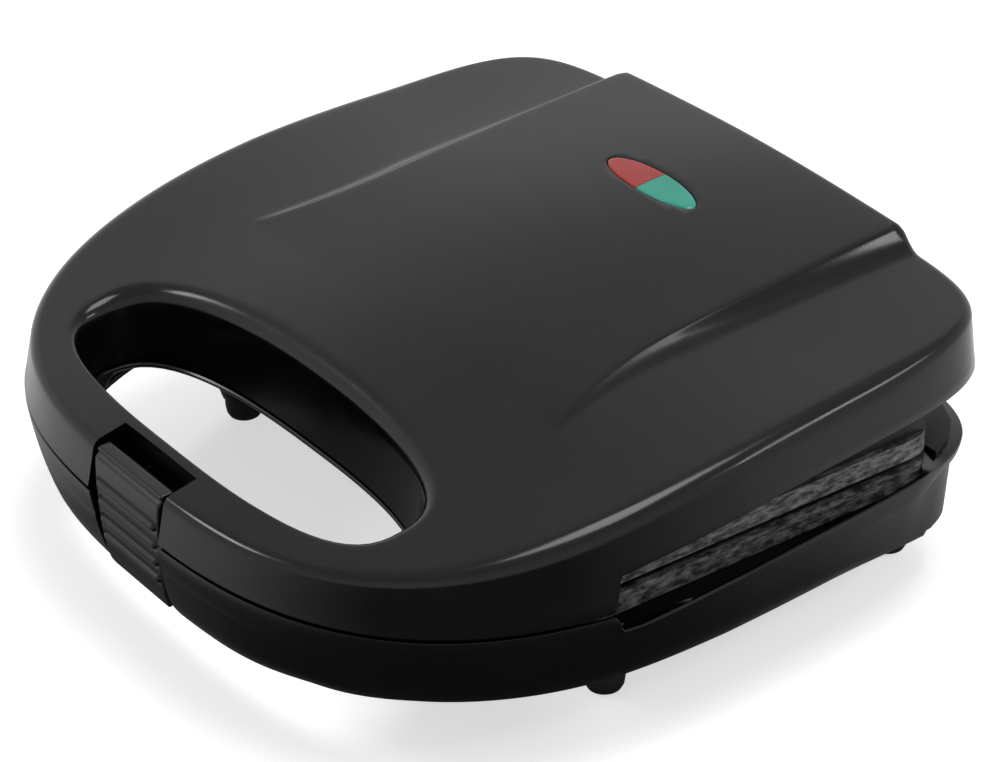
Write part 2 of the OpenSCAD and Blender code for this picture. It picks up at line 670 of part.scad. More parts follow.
module terminal_block() color([0.9, 0.9, 0.86]) placed() translate([40, 60, floor_z + wall]) difference() {
    union() {
        translate([-13, -6, 0]) cube([26, 12, 5]);
        for (x = [-8.5, 0, 8.5]) translate([x, 0, 4.9]) cylinder(r = 3.2, h = 3.6, $fn = 32);
    }
    for (x = [-8.5, 0, 8.5]) translate([x, 0, 6]) cylinder(r = 1.8, h = 4, $fn = 24);
}

// Insulated wire along straight runs, with a bead a little fatter than the wire at each corner.
bead = 1.08;
module wire(pts, r) {
    for (i = [0:len(pts) - 2]) {
        d = pts[i + 1] - pts[i];
        translate(pts[i]) rotate([0, acos(d[2] / norm(d)), atan2(d[1], d[0])]) cylinder(r = r, h = norm(d), $fn = 16);
        if (i > 0) translate(pts[i]) sphere(r = r * bead, $fn = 24);
    }
}

wire_r = 1.3;
module lower_wiring() color([0.75, 0.72, 0.62]) placed() {
    // Inlet to terminal block, block to heater end, heater end to thermostat
    wire([[0, inlet_y[0] - 0.7, inlet_z], [6, 73.2, 25.2], [21.2, 68.8, 18.2], [31.5, 67.4, 17]], wire_r);
    wire([[48.4, 52.6, 17], [48.5, 52.5, 24.2], [44, 53.2, 26.6], [30.4, 54.6, 28.4], [16.9, 53, low_heat_z + 0.4], [16.5, heater_rear_y, low_heat_z]], wire_r);
    wire([[-16.5, heater_rear_y, low_heat_z], [-15, 38, 27.5], [-15.5, 29.5, low_back_z - 2.3]], wire_r);
}

// Leads that cross to the lid twist about the hinge axis, one half in each body.
module link_lead_lower() placed() color([0.85, 0.83, 0.78])
    wire([[-14, 88, 39], [-14, 90, 45.5], [-13, hinge_y, hinge_z], [-0.2, hinge_y, hinge_z]], 2);
module link_lead_upper() placed() color([0.85, 0.83, 0.78])
    wire([[0.2, hinge_y, hinge_z], [14, hinge_y, hinge_z], [14, 90, 57], [14, 88.5, 66]], 2);

inlet_y = [82.2, 99.4];
module cord_inlet() color(rubber) placed() translate([0, 0, inlet_z]) rotate([-90, 0, 0]) rotate_extrude($fn = 64)
    polygon([[inlet_r, inlet_y[0]], [7, inlet_y[0]], [7, 84], [5.9, 84.8], [5.9, 94.6], [6.5, 95.4], [6.5, 98.6],
        [5.9, inlet_y[1]], [inlet_r, inlet_y[1]]]);

keeper_ledge = [[-105.4, 26.1], [-100, 26.1], [-100, 29], [-105.4, 28.4]];
module latch_keeper() color(dark) placed() {
    translate([-19.2, -101.5, 21]) cube([38.4, 2, base_top - cover_t - 21.2]);
    side_profile(keeper_ledge, 18);
    for (s = [-1, 1]) translate([s * 18.2, 0, 0]) side_profile([[-108.2, base_top - cover_t - 0.2], [-106.6, 31], [-104.8, 26],
        [-101.6, 22.4], [-100, 22.4], [-100, base_top - cover_t - 0.2]], 2);
}

module base_screw(head_z, tip_z) {
    difference() {
        union() {
            translate([0, 0, head_z - 2]) cylinder(r = 3.1, h = 2, $fn = 40);
            translate([0, 0, head_z - eps]) cylinder(r = 1.45, h = tip_z - head_z, $fn = 32);
        }
        for (a = [0, 90]) rotate([0, 0, a]) translate([-2.2, -0.4, head_z - 3]) cube([4.4, 0.8, 2]);
    }
}
module base_screws() color(tin) placed() for (s = [-1, 1]) {
    translate([s * front_screw[0], front_screw[1], 0]) base_screw(34, 41.5);
    translate([s * rear_screw[0], rear_screw[1], 0]) base_screw(22, 31.8);
}

module feet() color(rubber) placed() four([foot_x, foot_front_y], [foot_x - 5, foot_rear_y])
    rotate_extrude($fn = 64) polygon([[0, 0], [3.4, 0], [4.5, 0.7], [5.2, 2], [5.5, 4], [5.5, foot_h], [0, foot_h]]);

module hinge_pin() color(steel) rotate([0, 90, 0]) {
    cylinder(r = pin_r, h = pin_len, center = true, $fn = 48);
    translate([0, 0, pin_len / 2 - eps]) cylinder(r = pin_r + 1, h = 1, $fn = 48);
}
module hinge_pin_left() placed() translate([-ear_x, hinge_y, hinge_z]) mirror([1, 0, 0]) hinge_pin();
module hinge_pin_right() placed() translate([ear_x, hinge_y, hinge_z]) hinge_pin();

module lid_frame() color(dark) placed() difference() {
    union() {
        // Cover over the handle and front
        translate([0, 0, lid_low + 0.2]) linear_extrude(cover_t) difference() {
            sheet_2d(wall + 1.5, -120, riser_y[1]);
            grip_2d(wall + fit_gap + 1.9);
            translate([-notch_half_w, -130]) square([2 * notch_half_w, 33.2]);
        }
        difference() {
            translate([-100, riser_y[0], lid_low + 0.2]) cube([200, riser_y[1] - riser_y[0], up_deck[1] - lid_low - 0.2]);
            translate([0, 0, lid_low]) linear_extrude(30) grip_2d(wall + 2.1);
        }
        // Deck that carries the plate
        translate([0, 0, up_deck[0]]) linear_extrude(up_deck[1] - up_deck[0]) difference() {
            sheet_2d(wall + 4, riser_y[1] - 0.9, 92.6);
            translate([-deck_open_x, -40]) square([2 * deck_open_x, deck_open_y + 40]);
        }
        plate_skirt(up_rim_z + plate_rim_t, up_deck[0] + eps, riser_y[1] - eps);
        // Posts that the plate is screwed to
        translate([-6, -40.1, up_back_z]) cube([12, 8, up_deck[1] - up_back_z]);
        translate([-6, 53, up_back_z]) cube([12, deck_open_y - 52.9, up_deck[1] - up_back_z]);
        // Cheeks that carry the latch pin
        for (s = [-1, 1]) {
            translate([s * (notch_half_w + 1.45), 0, 0]) side_profile([[-106.6, lid_low + 0.2], [-106.6, 48.6],
                [-105.2, 51], [notch_y + 0.2, 53.6], [notch_y + 0.2, lid_low + 0.2]], 2.5);
            // Hinge ears
            translate([s * ear_x, hinge_y, hinge_z]) knuckle(ear_w);
            translate([s * ear_x, 0, 0]) side_profile([[84, up_deck[0] + 0.5], [91.5, up_deck[0] + 0.5],
                [hinge_y + 1.5, hinge_z + 5], [hinge_y + 2, hinge_z], [hinge_y - 3.5, hinge_z - 2]], ear_w);
        }
    }
    for (s = [-1, 1]) {
        translate([s * ear_x, hinge_y, hinge_z]) cross_bore(pin_r + pin_clear, ear_w + 4);
        boss([s * front_screw[0], front_screw[1]], 1.7, 40, 50);
        boss([s * front_screw[0], front_screw[1]], 3.3, 40, lid_low + 1.7);
        boss([s * rear_screw[0], rear_screw[1]], 1.7, 50, 70);
    }
    translate([0, latch_y, latch_z]) cross_bore(latch_pin_r, 60);
    for (y = plate_screw_y) boss([0, y], 1.5, 50, 61.4);
    // Way for the leads to the lamps and the heater
    translate([14, 89.2, 50]) cylinder(r = 2.8, h = 20, $fn = 24);
}

module red_lens() color([0.62, 0.12, 0.10]) placed() lens_tilt() lens_half(-1);
module green_lens() color([0.10, 0.55, 0.42]) placed() lens_tilt() lens_half(1);
// Half of the oval window, its crown a little proud of the lid.
module lens_half(s) {
    intersection() {
        union() {
            translate([0, 0, -2]) oval(0, 4.8);
            translate([0, 0, -4.2]) oval(1.2, 1.4);
        }
        translate([s > 0 ? 0.05 : -30.05, -20, -10]) cube([30, 40, 20]);
    }
}

module lamp_holder() color([0.85, 0.85, 0.8]) placed() lens_tilt() difference() {
    union() {
        translate([0, 0, -10.4]) oval(2.4, 11);
        translate([-26, -4, -6.4]) cube([52, 8, 1.6]);
        // Posts under the lid's skin
        for (s = [-1, 1]) translate([s * 23.5, 0, -5]) cylinder(r = 2.2, h = 1.8, $fn = 32);
    }
    translate([0, 0, -9.9]) oval(0.4, 10.1);
    translate([0, 0, -4.2]) oval(1.3, 1.5);
    translate([0, 0, -3]) oval(3, 1.4);
    translate([-0.6, -6, -20]) cube([1.2, 12, 3]);
    for (s = [-1, 1]) translate([s * 9, 0, -17]) cylinder(r = 1.2, h = 3, $fn = 24);
}

// Neon lamp standing on its two leads.
module lamp(s) lens_tilt() translate([s * 9, 0, -14.9]) {
    cylinder(r = 2.7, h = 6, $fn = 32);
    translate([0, 0, 6]) sphere(r = 2.7, $fn = 32);
    for (x = [-0.6, 0.6]) translate([x, 0, -3.6]) cylinder(r = 0.35, h = 3.7, $fn = 16);
}
module red_lamp() color([0.9, 0.45, 0.3]) placed() lamp(-1);
module green_lamp() color([0.5, 0.85, 0.6]) placed() lamp(1);
module lamp_resistors() color([0.75, 0.6, 0.4]) placed() lens_tilt() for (s = [-1, 1])
    translate([s * 9 + 1.6, 0, -19.9]) rotate([90, 0, 0]) {
        cylinder(r = 1.1, h = 6, center = true, $fn = 24);
        cylinder(r = 0.35, h = 12, center = true, $fn = 16);
    }

module upper_wiring() color([0.75, 0.72, 0.62]) placed() {
    wire([[14, 86.5, 67.6], [12, 74, 66.6], [10.6, 68.3, top_z([0, lens_y]) - 19.2]], wire_r);
    wire([[16.5, 84, 66], [18, 68, 65.4], [17.2, 60, 64.4], [16.6, 53.7, 61.1], [16.5, heater_rear_y, up_heat_z]], wire_r);
    wire([[-16.5, heater_rear_y, up_heat_z], [-16.4, 53.7, 61.1], [-14.6, 60.4, 64.6], [-7.4, 68.3, top_z([0, lens_y]) - 19.2]], wire_r);
}

module lid_screws() color(tin) placed() for (s = [-1, 1]) {
    translate([s * front_screw[0], front_screw[1], lid_low + 1.6]) lid_screw(8.8);
    translate([s * rear_screw[0], rear_screw[1], up_deck[0]]) lid_screw(9);
}
module lid_screw(reach) {
    difference() {
        union() {
            translate([0, 0, -1.4]) cylinder(r = 3, h = 1.4, $fn = 40);
            translate([0, 0, -eps]) cylinder(r = 1.45, h = reach, $fn = 32);
        }
        for (a = [0, 90]) rotate([0, 0, a]) translate([-2, -0.4, -2]) cube([4, 0.8, 1.4]);
    }
}

module latch_pin() color(steel) placed() translate([0, latch_y, latch_z]) rotate([0, 90, 0])
    cylinder(r = latch_pin_r, h = 2 * notch_half_w + 5, center = true, $fn = 40);

// Side view of the latch, with its hook at the foot.
latch_face = [[-100.6, 54.9], [-106.3, 54.2], [-109.6, 50], [-111.3, 44], [-111.6, 37], [-110.9, 29], [-109.4, 23.6],
    [-107.4, 21.6], [-104.6, 21.8], [-103.4, 23.2], [-103.4, 25.8], [-106.6, 25.8], [-107.9, 28.4], [-108.6, 34],
    [-108.4, 41], [-107, 46.6], [-105.6, 51], [-100.6, 51.6]];
rib_z = 48;
rib_pitch = 5.4;
rib_r = 1.3;
function latch_w(z) = latch_low_half_w + (latch_half_w - latch_low_half_w) * clamp01((z - 22) / 30);
function face_y(z) = -latch_front + pow(abs(z - 38) / 10, 2) * 0.9;

module latch() color(black) placed() difference() {
    union() {
        intersection() {
            side_profile(latch_face, 2 * latch_half_w);
            rotate([90, 0, 0]) linear_extrude(130) polygon([[-latch_w(60), 60], [-latch_w(52), 52], [-latch_w(24), 25],
                [-latch_w(22) + 3.4, 21], [latch_w(22) - 3.4, 21], [latch_w(24), 25], [latch_w(52), 52], [latch_w(60), 60]]);
        }
        translate([0, latch_y, latch_z]) rotate([0, 90, 0]) cylinder(r = 3, h = 27, center = true, $fn = 40);
        for (i = [0:rib_count - 1]) {
            z = rib_z - i * rib_pitch;
            translate([0, face_y(z) + rib_r - rib_stand, z]) rotate([0, 90, 0])
                cylinder(r = rib_r, h = 2 * latch_w(z) - 2, center = true, $fn = 24);
        }
    }
    translate([0, latch_y, latch_z]) cross_bore(latch_pin_r + pin_clear, 60);
}

base_shell();
base_frame();
lower_plate();
lower_heater();
lower_heater_clamps();
lower_reflector();
lower_plate_screws();
thermostat();
thermal_fuse();
terminal_block();
lower_wiring();
link_lead_lower();
cord_inlet();
latch_keeper();
base_screws();
feet();
hinge_pin_left();
hinge_pin_right();
lid_shell();
lid_frame();
upper_plate();
upper_heater();
upper_heater_clamps();
upper_reflector();
upper_plate_screws();
red_lens();
green_lens();
lamp_holder();
red_lamp();
green_lamp();
lamp_resistors();
upper_wiring();
link_lead_upper();
lid_screws();
latch_pin();
latch();
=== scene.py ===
"""Dresses the sandwich toaster: moulded casings, latch, indicator windows, finishes, light and camera."""

import json
import logging
import math
from dataclasses import dataclass, field, replace
from enum import Enum

import bmesh
import bpy
import numpy as np
from mathutils import Matrix, Vector
from mathutils.geometry import delaunay_2d_cdt

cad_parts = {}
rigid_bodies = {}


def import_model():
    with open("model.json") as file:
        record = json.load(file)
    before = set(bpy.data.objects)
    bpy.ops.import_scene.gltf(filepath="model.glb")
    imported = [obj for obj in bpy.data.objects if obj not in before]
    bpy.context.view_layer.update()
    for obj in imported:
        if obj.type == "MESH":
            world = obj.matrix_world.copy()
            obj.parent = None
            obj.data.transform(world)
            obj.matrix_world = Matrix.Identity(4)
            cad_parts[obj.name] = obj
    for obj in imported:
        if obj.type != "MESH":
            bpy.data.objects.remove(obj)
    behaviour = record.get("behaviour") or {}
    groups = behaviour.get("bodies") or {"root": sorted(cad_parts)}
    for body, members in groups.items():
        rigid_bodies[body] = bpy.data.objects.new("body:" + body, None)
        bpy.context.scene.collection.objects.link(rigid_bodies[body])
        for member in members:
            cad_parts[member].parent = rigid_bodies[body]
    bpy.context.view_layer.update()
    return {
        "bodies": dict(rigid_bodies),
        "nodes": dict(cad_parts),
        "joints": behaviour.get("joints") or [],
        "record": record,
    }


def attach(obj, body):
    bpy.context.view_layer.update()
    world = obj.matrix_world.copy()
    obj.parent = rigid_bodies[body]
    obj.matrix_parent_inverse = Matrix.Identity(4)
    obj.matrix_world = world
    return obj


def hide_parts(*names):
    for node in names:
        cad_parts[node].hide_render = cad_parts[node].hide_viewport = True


MM = 0.001
FRAME_SHIFT = 5.9  # how far the CAD frame lies behind the axes that the sizes below use, mm
WELD = 0.004  # points nearer than this are one, mm
SLIVER = 1e-4  # triangles smaller than this are left out, mm2
RIM_CLEAR = 0.75  # inner points of a sheet stay this far from its edges, mm
Array = np.ndarray

log = logging.getLogger("toaster")


def clamp01(v: Array | float) -> Array:
    """Limits values to 0..1."""
    return np.clip(v, 0.0, 1.0)


def ease(v: Array | float) -> Array:
    """Smooth step from 0 to 1."""
    c = clamp01(v)
    return c * c * (3 - 2 * c)


def soft_max(a: Array, b: Array, k: float) -> Array:
    """Larger of two heights, with the crease between them rounded over about k mm."""
    h = clamp01(0.5 + 0.5 * (a - b) / k)
    return b + (a - b) * h + k * h * (1 - h)


def xyz(x: Array, y: Array, z: Array | float) -> Array:
    """Stacks coordinates into points."""
    return np.stack(np.broadcast_arrays(x, y, z), axis=-1).astype(float)


@dataclass(frozen=True)
class BodyForm:
    """Outline, crown and edges shared by the two casings, in mm and degrees."""

    half_w: float = 115.0
    front_d: float = 111.3
    rear_d: float = 97.0
    front_n: float = 2.73
    rear_n: float = 7.0
    side_taper: float = 8.9
    lid_low: float = 43.4
    base_top: float = 42.6
    draft: float = 3.0
    rim_front_z: float = 54.8
    rim_rise: float = 20.2
    crown_front_z: float = 55.5
    crown_rise: float = 29.5
    step_rear: float = 5.5
    step_w: float = 7.0
    panel_half_w: float = 60.0
    panel_swing: float = 0.0046
    panel_swing_y: float = 20.0
    step_power: float = 1.8
    step_round: float = 0.55
    gap_start_y: float = -38.0
    grip_y: float = -74.0
    grip_half_x: float = 66.5
    grip_half_y: float = 20.3
    grip_n: float = 2.6
    scoop_lip: float = 39.0
    scoop_slope: float = 0.54
    scoop_way: tuple[float, float] = (0.825, 0.566)
    scoop_drop: float = 1.2
    lip_under: float = 1.4
    crown_half_w: float = 108.0
    crown_power: float = 3.5
    camber: float = 0.5
    rear_lift: float = 1.2
    rise_power: float = 1.25
    front_y: float = -112.0
    gap_blend: float = 2.8
    lens_y: float = 58.9

    def side_w(self, y: Array) -> Array:
        """Half width of the body at a depth behind the middle."""
        s = np.maximum(y, 0) / 100
        return self.half_w - self.side_taper * (0.44 * s + 0.56 * s * s)

    def outline_at(self, t: Array) -> Array:
        """Points of the outline.

        Args:
            t: angles about the middle, degrees.

        Returns:
            Points in x and y.
        """
        c, s = np.cos(np.radians(t)), np.sin(np.radians(t))

        def round_r(a: Array | float, b: float, n: float) -> Array:
            """Radius of a superellipse."""
            return ((np.abs(c) / a) ** n + (np.abs(s) / b) ** n) ** (-1 / n)

        front = round_r(self.half_w, self.front_d, self.front_n)
        first = round_r(self.half_w, self.rear_d, self.rear_n)
        rear = round_r(self.side_w(first * s), self.rear_d, self.rear_n)
        r = np.where(s < 0, front, rear)
        return np.stack([r * c, r * s], axis=-1)

    def outline(self, t: Array, inset: Array | float) -> Array:
        """Points of the outline moved inward.

        Args:
            t: angles about the middle, degrees.
            inset: distance inward, mm.

        Returns:
            Points in x and y.
        """
        d = self.outline_at(t + 0.4) - self.outline_at(t - 0.4)
        d /= np.linalg.norm(d, axis=-1, keepdims=True)
        inward = np.stack([-d[..., 1], d[..., 0]], axis=-1)
        return self.outline_at(t) + np.asarray(inset, float)[..., None] * inward

    def edge_angle(self, half: float, inset: float) -> float:
        """Angle right of the front's middle at which the moved outline is half mm from the middle."""
        low, high = -90.0, -50.0
        for _ in range(40):
            mid = (low + high) / 2
            if self.outline(np.array([mid]), inset)[0, 0] < half:
                low = mid
            else:
                high = mid
        return low

    def columns_at(self, half: float, count: int) -> Array:
        """Angles of a casing's columns, from one side of the cut at the front round to the other.

        Args:
            half: half width of the cut.
            count: number of even columns, to which close ones are added where the side gap starts.

        Returns:
            Angles in degrees.
        """
        t0 = self.edge_angle(half, 0.0)
        start = math.degrees(math.atan2(self.gap_start_y, self.half_w))
        fine = np.linspace(start - 2.5, start + 2.5, 26)
        even = np.linspace(t0, 180 - t0, count)
        return np.unique(np.round(np.concatenate([even, fine, 180 - fine]), 4))

    def ring(self, t: Array, inset: Array | float, half: float) -> Array:
        """Outline with its two ends pulled to x = half and x = -half at the front.

        Args:
            t: angles from the right end round the rear to the left end.
            inset: distance inward, one number or one per angle.
            half: half width of the cut at the front.

        Returns:
            Points in x and y.
        """
        first = float(np.ravel(inset)[0])
        move = self.edge_angle(half, first) - t[0]
        fade = clamp01(1 - (t - t[0]) / 30) - clamp01(1 - (t[-1] - t) / 30)
        return self.outline(t + move * fade, inset)

    def rim_z(self, y: Array) -> Array:
        """Height of the lid's rim."""
        up = np.sin(np.radians(90 * clamp01((y - self.front_y) / 150)))
        lift = (np.maximum(y, 0) / 100) ** 2 + self.rear_lift * ease((y - 20) / 70)
        return self.rim_front_z + self.rim_rise * up**self.rise_power + lift

    def crown_z(self, y: Array) -> Array:
        """Height of the lid along its middle."""
        up = np.sin(np.radians(90 * clamp01((y - self.front_y) / 212)))
        return self.crown_front_z + self.crown_rise * up

    def panel_w(self, y: Array) -> Array:
        """Half width of the raised panel, which swings out towards the front."""
        return self.panel_half_w + self.panel_swing * np.maximum(0, self.panel_swing_y - y) ** 2

    def top_z(self, x: Array, y: Array) -> Array:
        """Height of the lid's top, with the edge of the raised panel crisp and its foot hollow."""
        x = np.abs(x)
        step = self.step_rear * clamp01((y + 25) / 122) ** 0.8
        rim = self.rim_z(y)
        width = self.step_w * (0.35 + 0.65 * clamp01((y + 20) / 40))
        u = x - self.panel_w(y)
        u = 0.5 * (u + np.sqrt(u * u + self.step_round**2)) / width
        drop = 1 - (1 - clamp01(u)) ** self.step_power
        arch = (1 - np.minimum(1, x / self.crown_half_w) ** 2) ** self.crown_power
        crown = (self.crown_z(y) - rim - step) * arch
        return rim + crown + step * (1 - drop) - self.camber * (x / self.half_w) ** 4

    def in_gap(self, y: Array) -> Array:
        """0 ahead of the side gap, 1 along it."""
        return ease((y - self.gap_start_y) / self.gap_blend + 0.5)

    def lid_edge_z(self, y: Array) -> Array:
        """Height of the lid's lower edge."""
        gap = 53 + 6.5 * (1 - clamp01((60 - y) / 96) ** 2)
        return self.lid_low + (gap - self.lid_low) * self.in_gap(y)

    def base_edge_z(self, y: Array) -> Array:
        """Height of the base's upper edge."""
        gap = 42 - 4 * clamp01((45 - y) / 76) ** 2 - 1.2 * ease((y - 62) / 12)
        return self.base_top + (gap - self.base_top) * self.in_gap(y)

    def grip_at(self, a: Array, k: Array | float, out: Array | float = 0.0) -> Array:
        """Points of the handle opening's outline.

        Args:
            a: angles about the opening's middle, degrees.
            k: scale.
            out: distance outward, mm.

        Returns:
            Points in x and y.
        """
        c, s = np.cos(np.radians(a)), np.sin(np.radians(a))
        rx, ry = self.grip_half_x * k + out, self.grip_half_y * k + out
        r = ((np.abs(c) / rx) ** self.grip_n + (np.abs(s) / ry) ** self.grip_n) ** (-1 / self.grip_n)
        return np.stack([r * c, self.grip_y + r * s], axis=-1)

    def scoop(self, x: Array, y: Array) -> Array:
        """Height of the hollow under the handle, where the fingers reach through."""
        n = self.grip_n
        qx, qy = np.abs(x) + 1e-6, np.abs(y - self.grip_y) + 1e-6
        k = ((qx / self.grip_half_x) ** n + (qy / self.grip_half_y) ** n) ** (1 / n)
        nx, ny = qx ** (n - 1) / self.grip_half_x**n, qy ** (n - 1) / self.grip_half_y**n
        way = self.scoop_way[0] * nx + self.scoop_way[1] * ny
        fall = self.scoop_slope * (k - 1) * np.minimum(k, 4) ** (n - 1) / way
        rise = self.base_top - self.lip_under - self.scoop_lip
        lip = self.scoop_lip + rise * ease((y - self.grip_y + 14) / 14)
        return lip - fall - self.scoop_drop * np.maximum(0, self.grip_y - y)

    def lens_frame(self) -> Matrix:
        """Frame of the indicator window, its Z square to the panel, in mm."""
        y = self.lens_y
        z = [float(self.top_z(np.array(0.0), np.array(y + d))) for d in (-5, 0, 5)]
        slope = math.atan((z[2] - z[0]) / 10)
        return Matrix.Translation((0, y, z[1])) @ Matrix.Rotation(slope, 4, "X")


def inside(loop: Array, p: Array) -> Array:
    """Tells which points lie inside a closed loop.

    Args:
        loop: corner points in x and y.
        p: points to test.

    Returns:
        One flag for each point.
    """
    flag = np.zeros(len(p), bool)
    a, b = loop, np.roll(loop, -1, axis=0)
    for (ax, ay), (bx, by) in zip(a, b):
        hit = (ay > p[:, 1]) != (by > p[:, 1])
        if hit.any():
            x = (bx - ax) * (p[:, 1] - ay) / (by - ay + 1e-12) + ax
            flag ^= hit & (p[:, 0] < x)
    return flag


def nearest(p: Array, q: Array) -> Array:
    """Distance from each point of p to the nearest of q."""
    out = np.empty(len(p))
    for i in range(0, len(p), 2000):
        d = p[i : i + 2000, None, :] - q[None, :, :]
        out[i : i + 2000] = np.sqrt((d * d).sum(-1).min(1))
    return out


def bend(p0: Array, p1: Array, p2: Array, steps: int, weight: float = 0.75) -> list[Array]:
    """Rounds a corner.

    Args:
        p0: where the rounding starts, one point for each column.
        p1: the sharp corner.
        p2: where the rounding ends.
        steps: pieces along the rounding.
        weight: pull towards the corner.

    Returns:
        Rows of points after p0, up to p2.
    """
    rows = []
    for i in range(1, steps + 1):
        s = i / steps
        a, b, c = (1 - s) ** 2, 2 * s * (1 - s) * weight, s * s
        rows.append((a * p0 + b * p1 + c * p2) / (a + b + c))
    return rows


class Skin:
    """Collects the patches of one moulding and welds them into a mesh."""

    def __init__(self) -> None:
        """Starts with no patch."""
        self.points: list[Array] = []
        self.faces: list[tuple[int, ...]] = []
        self.count = 0

    def add(self, points: Array, faces: list[tuple[int, ...]]) -> None:
        """Adds a patch.

        Args:
            points: points in mm.
            faces: corner numbers within these points.
        """
        self.points.append(np.asarray(points, float).reshape(-1, 3))
        self.faces += [tuple(i + self.count for i in f) for f in faces]
        self.count += len(self.points[-1])

    def grid(self, rows: list[Array] | Array, closed: bool = False) -> None:
        """Adds a grid of quads between rows of points.

        Args:
            rows: rows of equal length.
            closed: joins each row's end to its start.
        """
        rows = np.asarray(rows, float)
        m, n = rows.shape[:2]
        faces = []
        for i in range(m - 1):
            for j in range(n if closed else n - 1):
                k = (j + 1) % n
                faces.append((i * n + j, i * n + k, (i + 1) * n + k, (i + 1) * n + j))
        self.add(rows, faces)

    def sheet(self, outer: Array, holes: list[Array], spots: Array, height) -> None:
        """Adds a sheet over a loop with holes in it.

        Args:
            outer: the boundary, points with their heights.
            holes: boundaries of the holes, points with their heights.
            spots: inner points in x and y.
            height: gives the height at x and y.
        """
        loops = [outer, *holes]
        rim = np.concatenate(loops)
        edges, start = [], 0
        for loop in loops:
            n = len(loop)
            edges += [(start + i, start + (i + 1) % n) for i in range(n)]
            start += n
        keep = inside(outer[:, :2], spots)
        for hole in holes:
            keep &= ~inside(hole[:, :2], spots)
        spots = spots[keep]
        spots = spots[nearest(spots, rim[:, :2]) > RIM_CLEAR]
        flat = np.concatenate([rim[:, :2], spots])
        made = delaunay_2d_cdt([Vector(p) for p in flat], edges, [], 0, 1e-6, True)
        verts, tris, source = made[0], made[2], made[3]
        xy = np.array([tuple(v) for v in verts])
        z = height(xy[:, 0], xy[:, 1])
        for i, s in enumerate(source):
            for k in s:
                if k < len(rim):
                    z[i] = rim[k, 2]
                    xy[i] = rim[k, :2]
        tri = np.array([t for t in tris if len(t) == 3])
        mid = xy[tri].mean(1)
        u, v = xy[tri[:, 1]] - xy[tri[:, 0]], xy[tri[:, 2]] - xy[tri[:, 0]]
        keep = inside(outer[:, :2], mid) & (np.abs(u[:, 0] * v[:, 1] - u[:, 1] * v[:, 0]) > SLIVER)
        for hole in holes:
            keep &= ~inside(hole[:, :2], mid)
        self.add(np.column_stack([xy, z]), [tuple(int(i) for i in t) for t in tri[keep]])

    def object(
        self, name: str, up: tuple[float, float, float] = (0, 0, 1), crease: float = 32, wall: float = 0.0
    ) -> bpy.types.Object:
        """Welds the patches into an object.

        Args:
            name: the object's name.
            up: a direction in which the furthest face looks outward.
            crease: edges sharper than this stay sharp, degrees.
            wall: thickness added inward, mm.

        Returns:
            The new object, in metres.
        """
        points = np.concatenate(self.points)
        points[:, 1] += FRAME_SHIFT
        mesh = bpy.data.meshes.new(name)
        mesh.from_pydata((points * MM).tolist(), [], self.faces)
        bm = bmesh.new()
        bm.from_mesh(mesh)
        bmesh.ops.remove_doubles(bm, verts=bm.verts, dist=WELD * MM)
        bmesh.ops.dissolve_degenerate(bm, edges=bm.edges, dist=WELD * MM * 0.5)
        bmesh.ops.recalc_face_normals(bm, faces=bm.faces)
        bm.normal_update()
        far = max(bm.faces, key=lambda f: f.calc_center_median().dot(Vector(up)))
        if far.normal.dot(Vector(up)) < 0:
            bmesh.ops.reverse_faces(bm, faces=bm.faces)
        bm.to_mesh(mesh)
        bm.free()
        obj = bpy.data.objects.new(name, mesh)
        bpy.context.scene.collection.objects.link(obj)
        if wall:
            solid = obj.modifiers.new("wall", "SOLIDIFY")
            solid.thickness = wall * MM
            solid.offset = -1
            settle(obj)
        smooth(obj, crease)
        return obj


def settle(obj: bpy.types.Object) -> None:
    """Applies an object's modifiers to its mesh."""
    bpy.context.view_layer.update()
    graph = bpy.context.evaluated_depsgraph_get()
    mesh = bpy.data.meshes.new_from_object(obj.evaluated_get(graph))
    obj.modifiers.clear()
    obj.data = mesh


def smooth(obj: bpy.types.Object, crease: float) -> None:
    """Shades a mesh smooth, with edges above the crease angle left sharp."""
    obj.data.polygons.foreach_set("use_smooth", [True] * len(obj.data.polygons))
    obj.data.set_sharp_from_angle(angle=math.radians(crease))


def lattice(xs: Array, ys: Array) -> Array:
    """All pairs of two lists of coordinates."""
    a, b = np.meshgrid(xs, ys)
    return np.column_stack([a.ravel(), b.ravel()])


